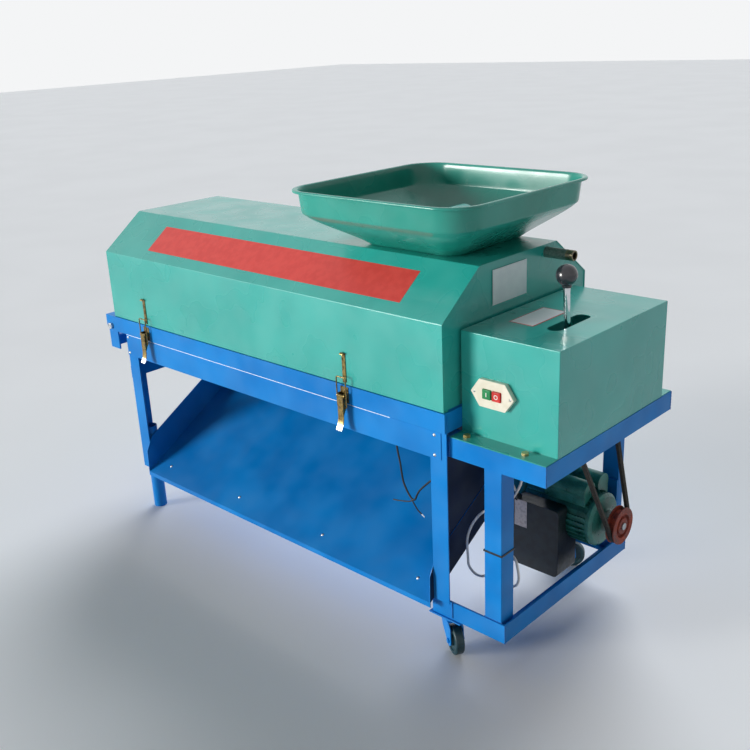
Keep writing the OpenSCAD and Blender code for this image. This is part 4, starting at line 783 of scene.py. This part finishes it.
def switch_marks():
    face, plate_face, middle = -254, -250, SWITCH_Z
    start_x, stop_x, stroke, rise = 87.5, 114.5, 1.1, 5
    shape = bmesh.new()
    block(shape, (start_x - stroke, face - 0.25, middle - rise),
          (start_x + stroke, face + 0.2, middle + rise))
    piece("start_mark", shape, MARK_WHITE, "start_push", "wire_white")
    shape = bmesh.new()
    turned(shape, [(3.6, -0.2), (3.6, 0.25), (5.6, 0.25), (5.6, -0.2), (3.6, -0.2)],
           (stop_x, face, middle), (0, -1, 0), 32)
    piece("stop_mark", shape, MARK_WHITE, "stop_push", "wire_white")
    shape = bmesh.new()
    for x in (51, 151):
        turned(shape, [(0, -1.6), (2.6, -1.6), (2.6, -0.6), (0, -0.2)],
               (x, plate_face, middle), (0, -1, 0), 20)
    piece("switch_screws", shape, BRIGHT_ZINC, "frame", "zinc")


switch_marks()


# Weld beads where the frame's bars meet

RIPPLE = 3.2


def weld(shape, start, end, radius):
    """Bead of overlapping ripples between two points in millimetres."""
    a, b = Vector(start), Vector(end)
    steps = max(2, int((b - a).length / RIPPLE))
    for i in range(steps + 1):
        spot = at(*(a + (b - a) * i / steps))
        swell = radius * (0.92 + 0.12 * math.sin(i * 2.4))
        bmesh.ops.create_icosphere(shape, subdivisions=1, radius=mm(swell),
                                   matrix=Matrix.Translation(spot))


def welds():
    shape = bmesh.new()
    for side in (-1, 1):
        # legs under the rails
        weld(shape, (-45, side * 293, 619), (5, side * 293, 619), 2.6)
        weld(shape, (-1325, side * 293, 619), (-1275, side * 293, 619), 2.6)
        # ring against the leg, base rail against the leg and post
        weld(shape, (5, side * 287, 560), (5, side * 287, 604), 2.6)
        weld(shape, (101, side * 280, 557), (151, side * 280, 557), 2.4)
        weld(shape, (101, side * 280, 156), (151, side * 280, 156), 2.4)
        weld(shape, (5, side * 287, 112), (5, side * 287, 156), 2.4)
        weld(shape, (272, side * 285, 558), (272, side * 285, 606), 2.0)
        weld(shape, (164, side * 285, 107), (164, side * 285, 155), 2.0)
        weld(shape, (-1322, side * 291, 150), (-1322, side * 291, 190), 2.2)
    settle(finish_mesh("frame_weld_beads", shape, WELD, 60), "frame", "frame_paint")


welds()


# Floor and light

LAMPS = [
    # name, where its light comes from, strength, softness in degrees, tint, mirrored
    ("open_door_in_front", (-0.55, -0.83, 0.1), 3.3, 20, "#FFFDF9", True),
    ("roof_light", (-0.3, 0.75, 0.65), 2.3, 40, "#F6FAFF", False),
]


def floor():
    shape = bmesh.new()
    bmesh.ops.create_grid(shape, x_segments=2, y_segments=2, size=30)
    material, tree, shader, place = start_material("pale_floor")
    tint = ramp(tree, patches(tree, place, 900, 2), [(0.3, "#F5F6F7"), (0.7, "#F8F9FA")])
    tree.links.new(tint, shader.inputs["Base Color"])
    shader.inputs["Roughness"].default_value = 0.7
    finish_mesh("floor", shape, material)


def sky():
    """Dim even light all round, which the camera and the mirrored rays see as near white."""
    world = bpy.data.worlds.new("studio")
    bpy.context.scene.world = world
    world.use_nodes = True
    tree = world.node_tree
    tree.nodes.clear()
    lit = add(tree, "Background", {"Color": linear("#F2F6FA"), "Strength": 0.17})
    seen = add(tree, "Background", {"Color": linear("#F4F5F6"), "Strength": 1.0})
    path = add(tree, "LightPath")
    first = add(tree, "Math", {"operation": "MAXIMUM"}, {0: path.outputs["Is Camera Ray"],
                                                        1: path.outputs["Is Glossy Ray"]})
    both = add(tree, "Math", {"operation": "MAXIMUM"},
               {0: first.outputs["Value"], 1: path.outputs["Is Transmission Ray"]})
    mix = add(tree, "MixShader", None, {0: both.outputs["Value"], 1: lit.outputs[0],
                                        2: seen.outputs[0]})
    add(tree, "OutputWorld", None, {"Surface": mix.outputs[0]})


def lights():
    for name, source, power, soft, tint, mirrored in LAMPS:
        lamp = bpy.data.lights.new(name, "SUN")
        lamp.energy = power
        lamp.angle = math.radians(soft)
        lamp.color = linear(tint)[:3]
        made = bpy.data.objects.new(name, lamp)
        made.visible_glossy = mirrored
        bpy.context.scene.collection.objects.link(made)
        look = (-Vector(source)).to_track_quat("-Z", "Y")
        made.matrix_world = look.to_matrix().to_4x4()


floor()
sky()
lights()
bpy.context.scene.view_settings.view_transform = "Standard"
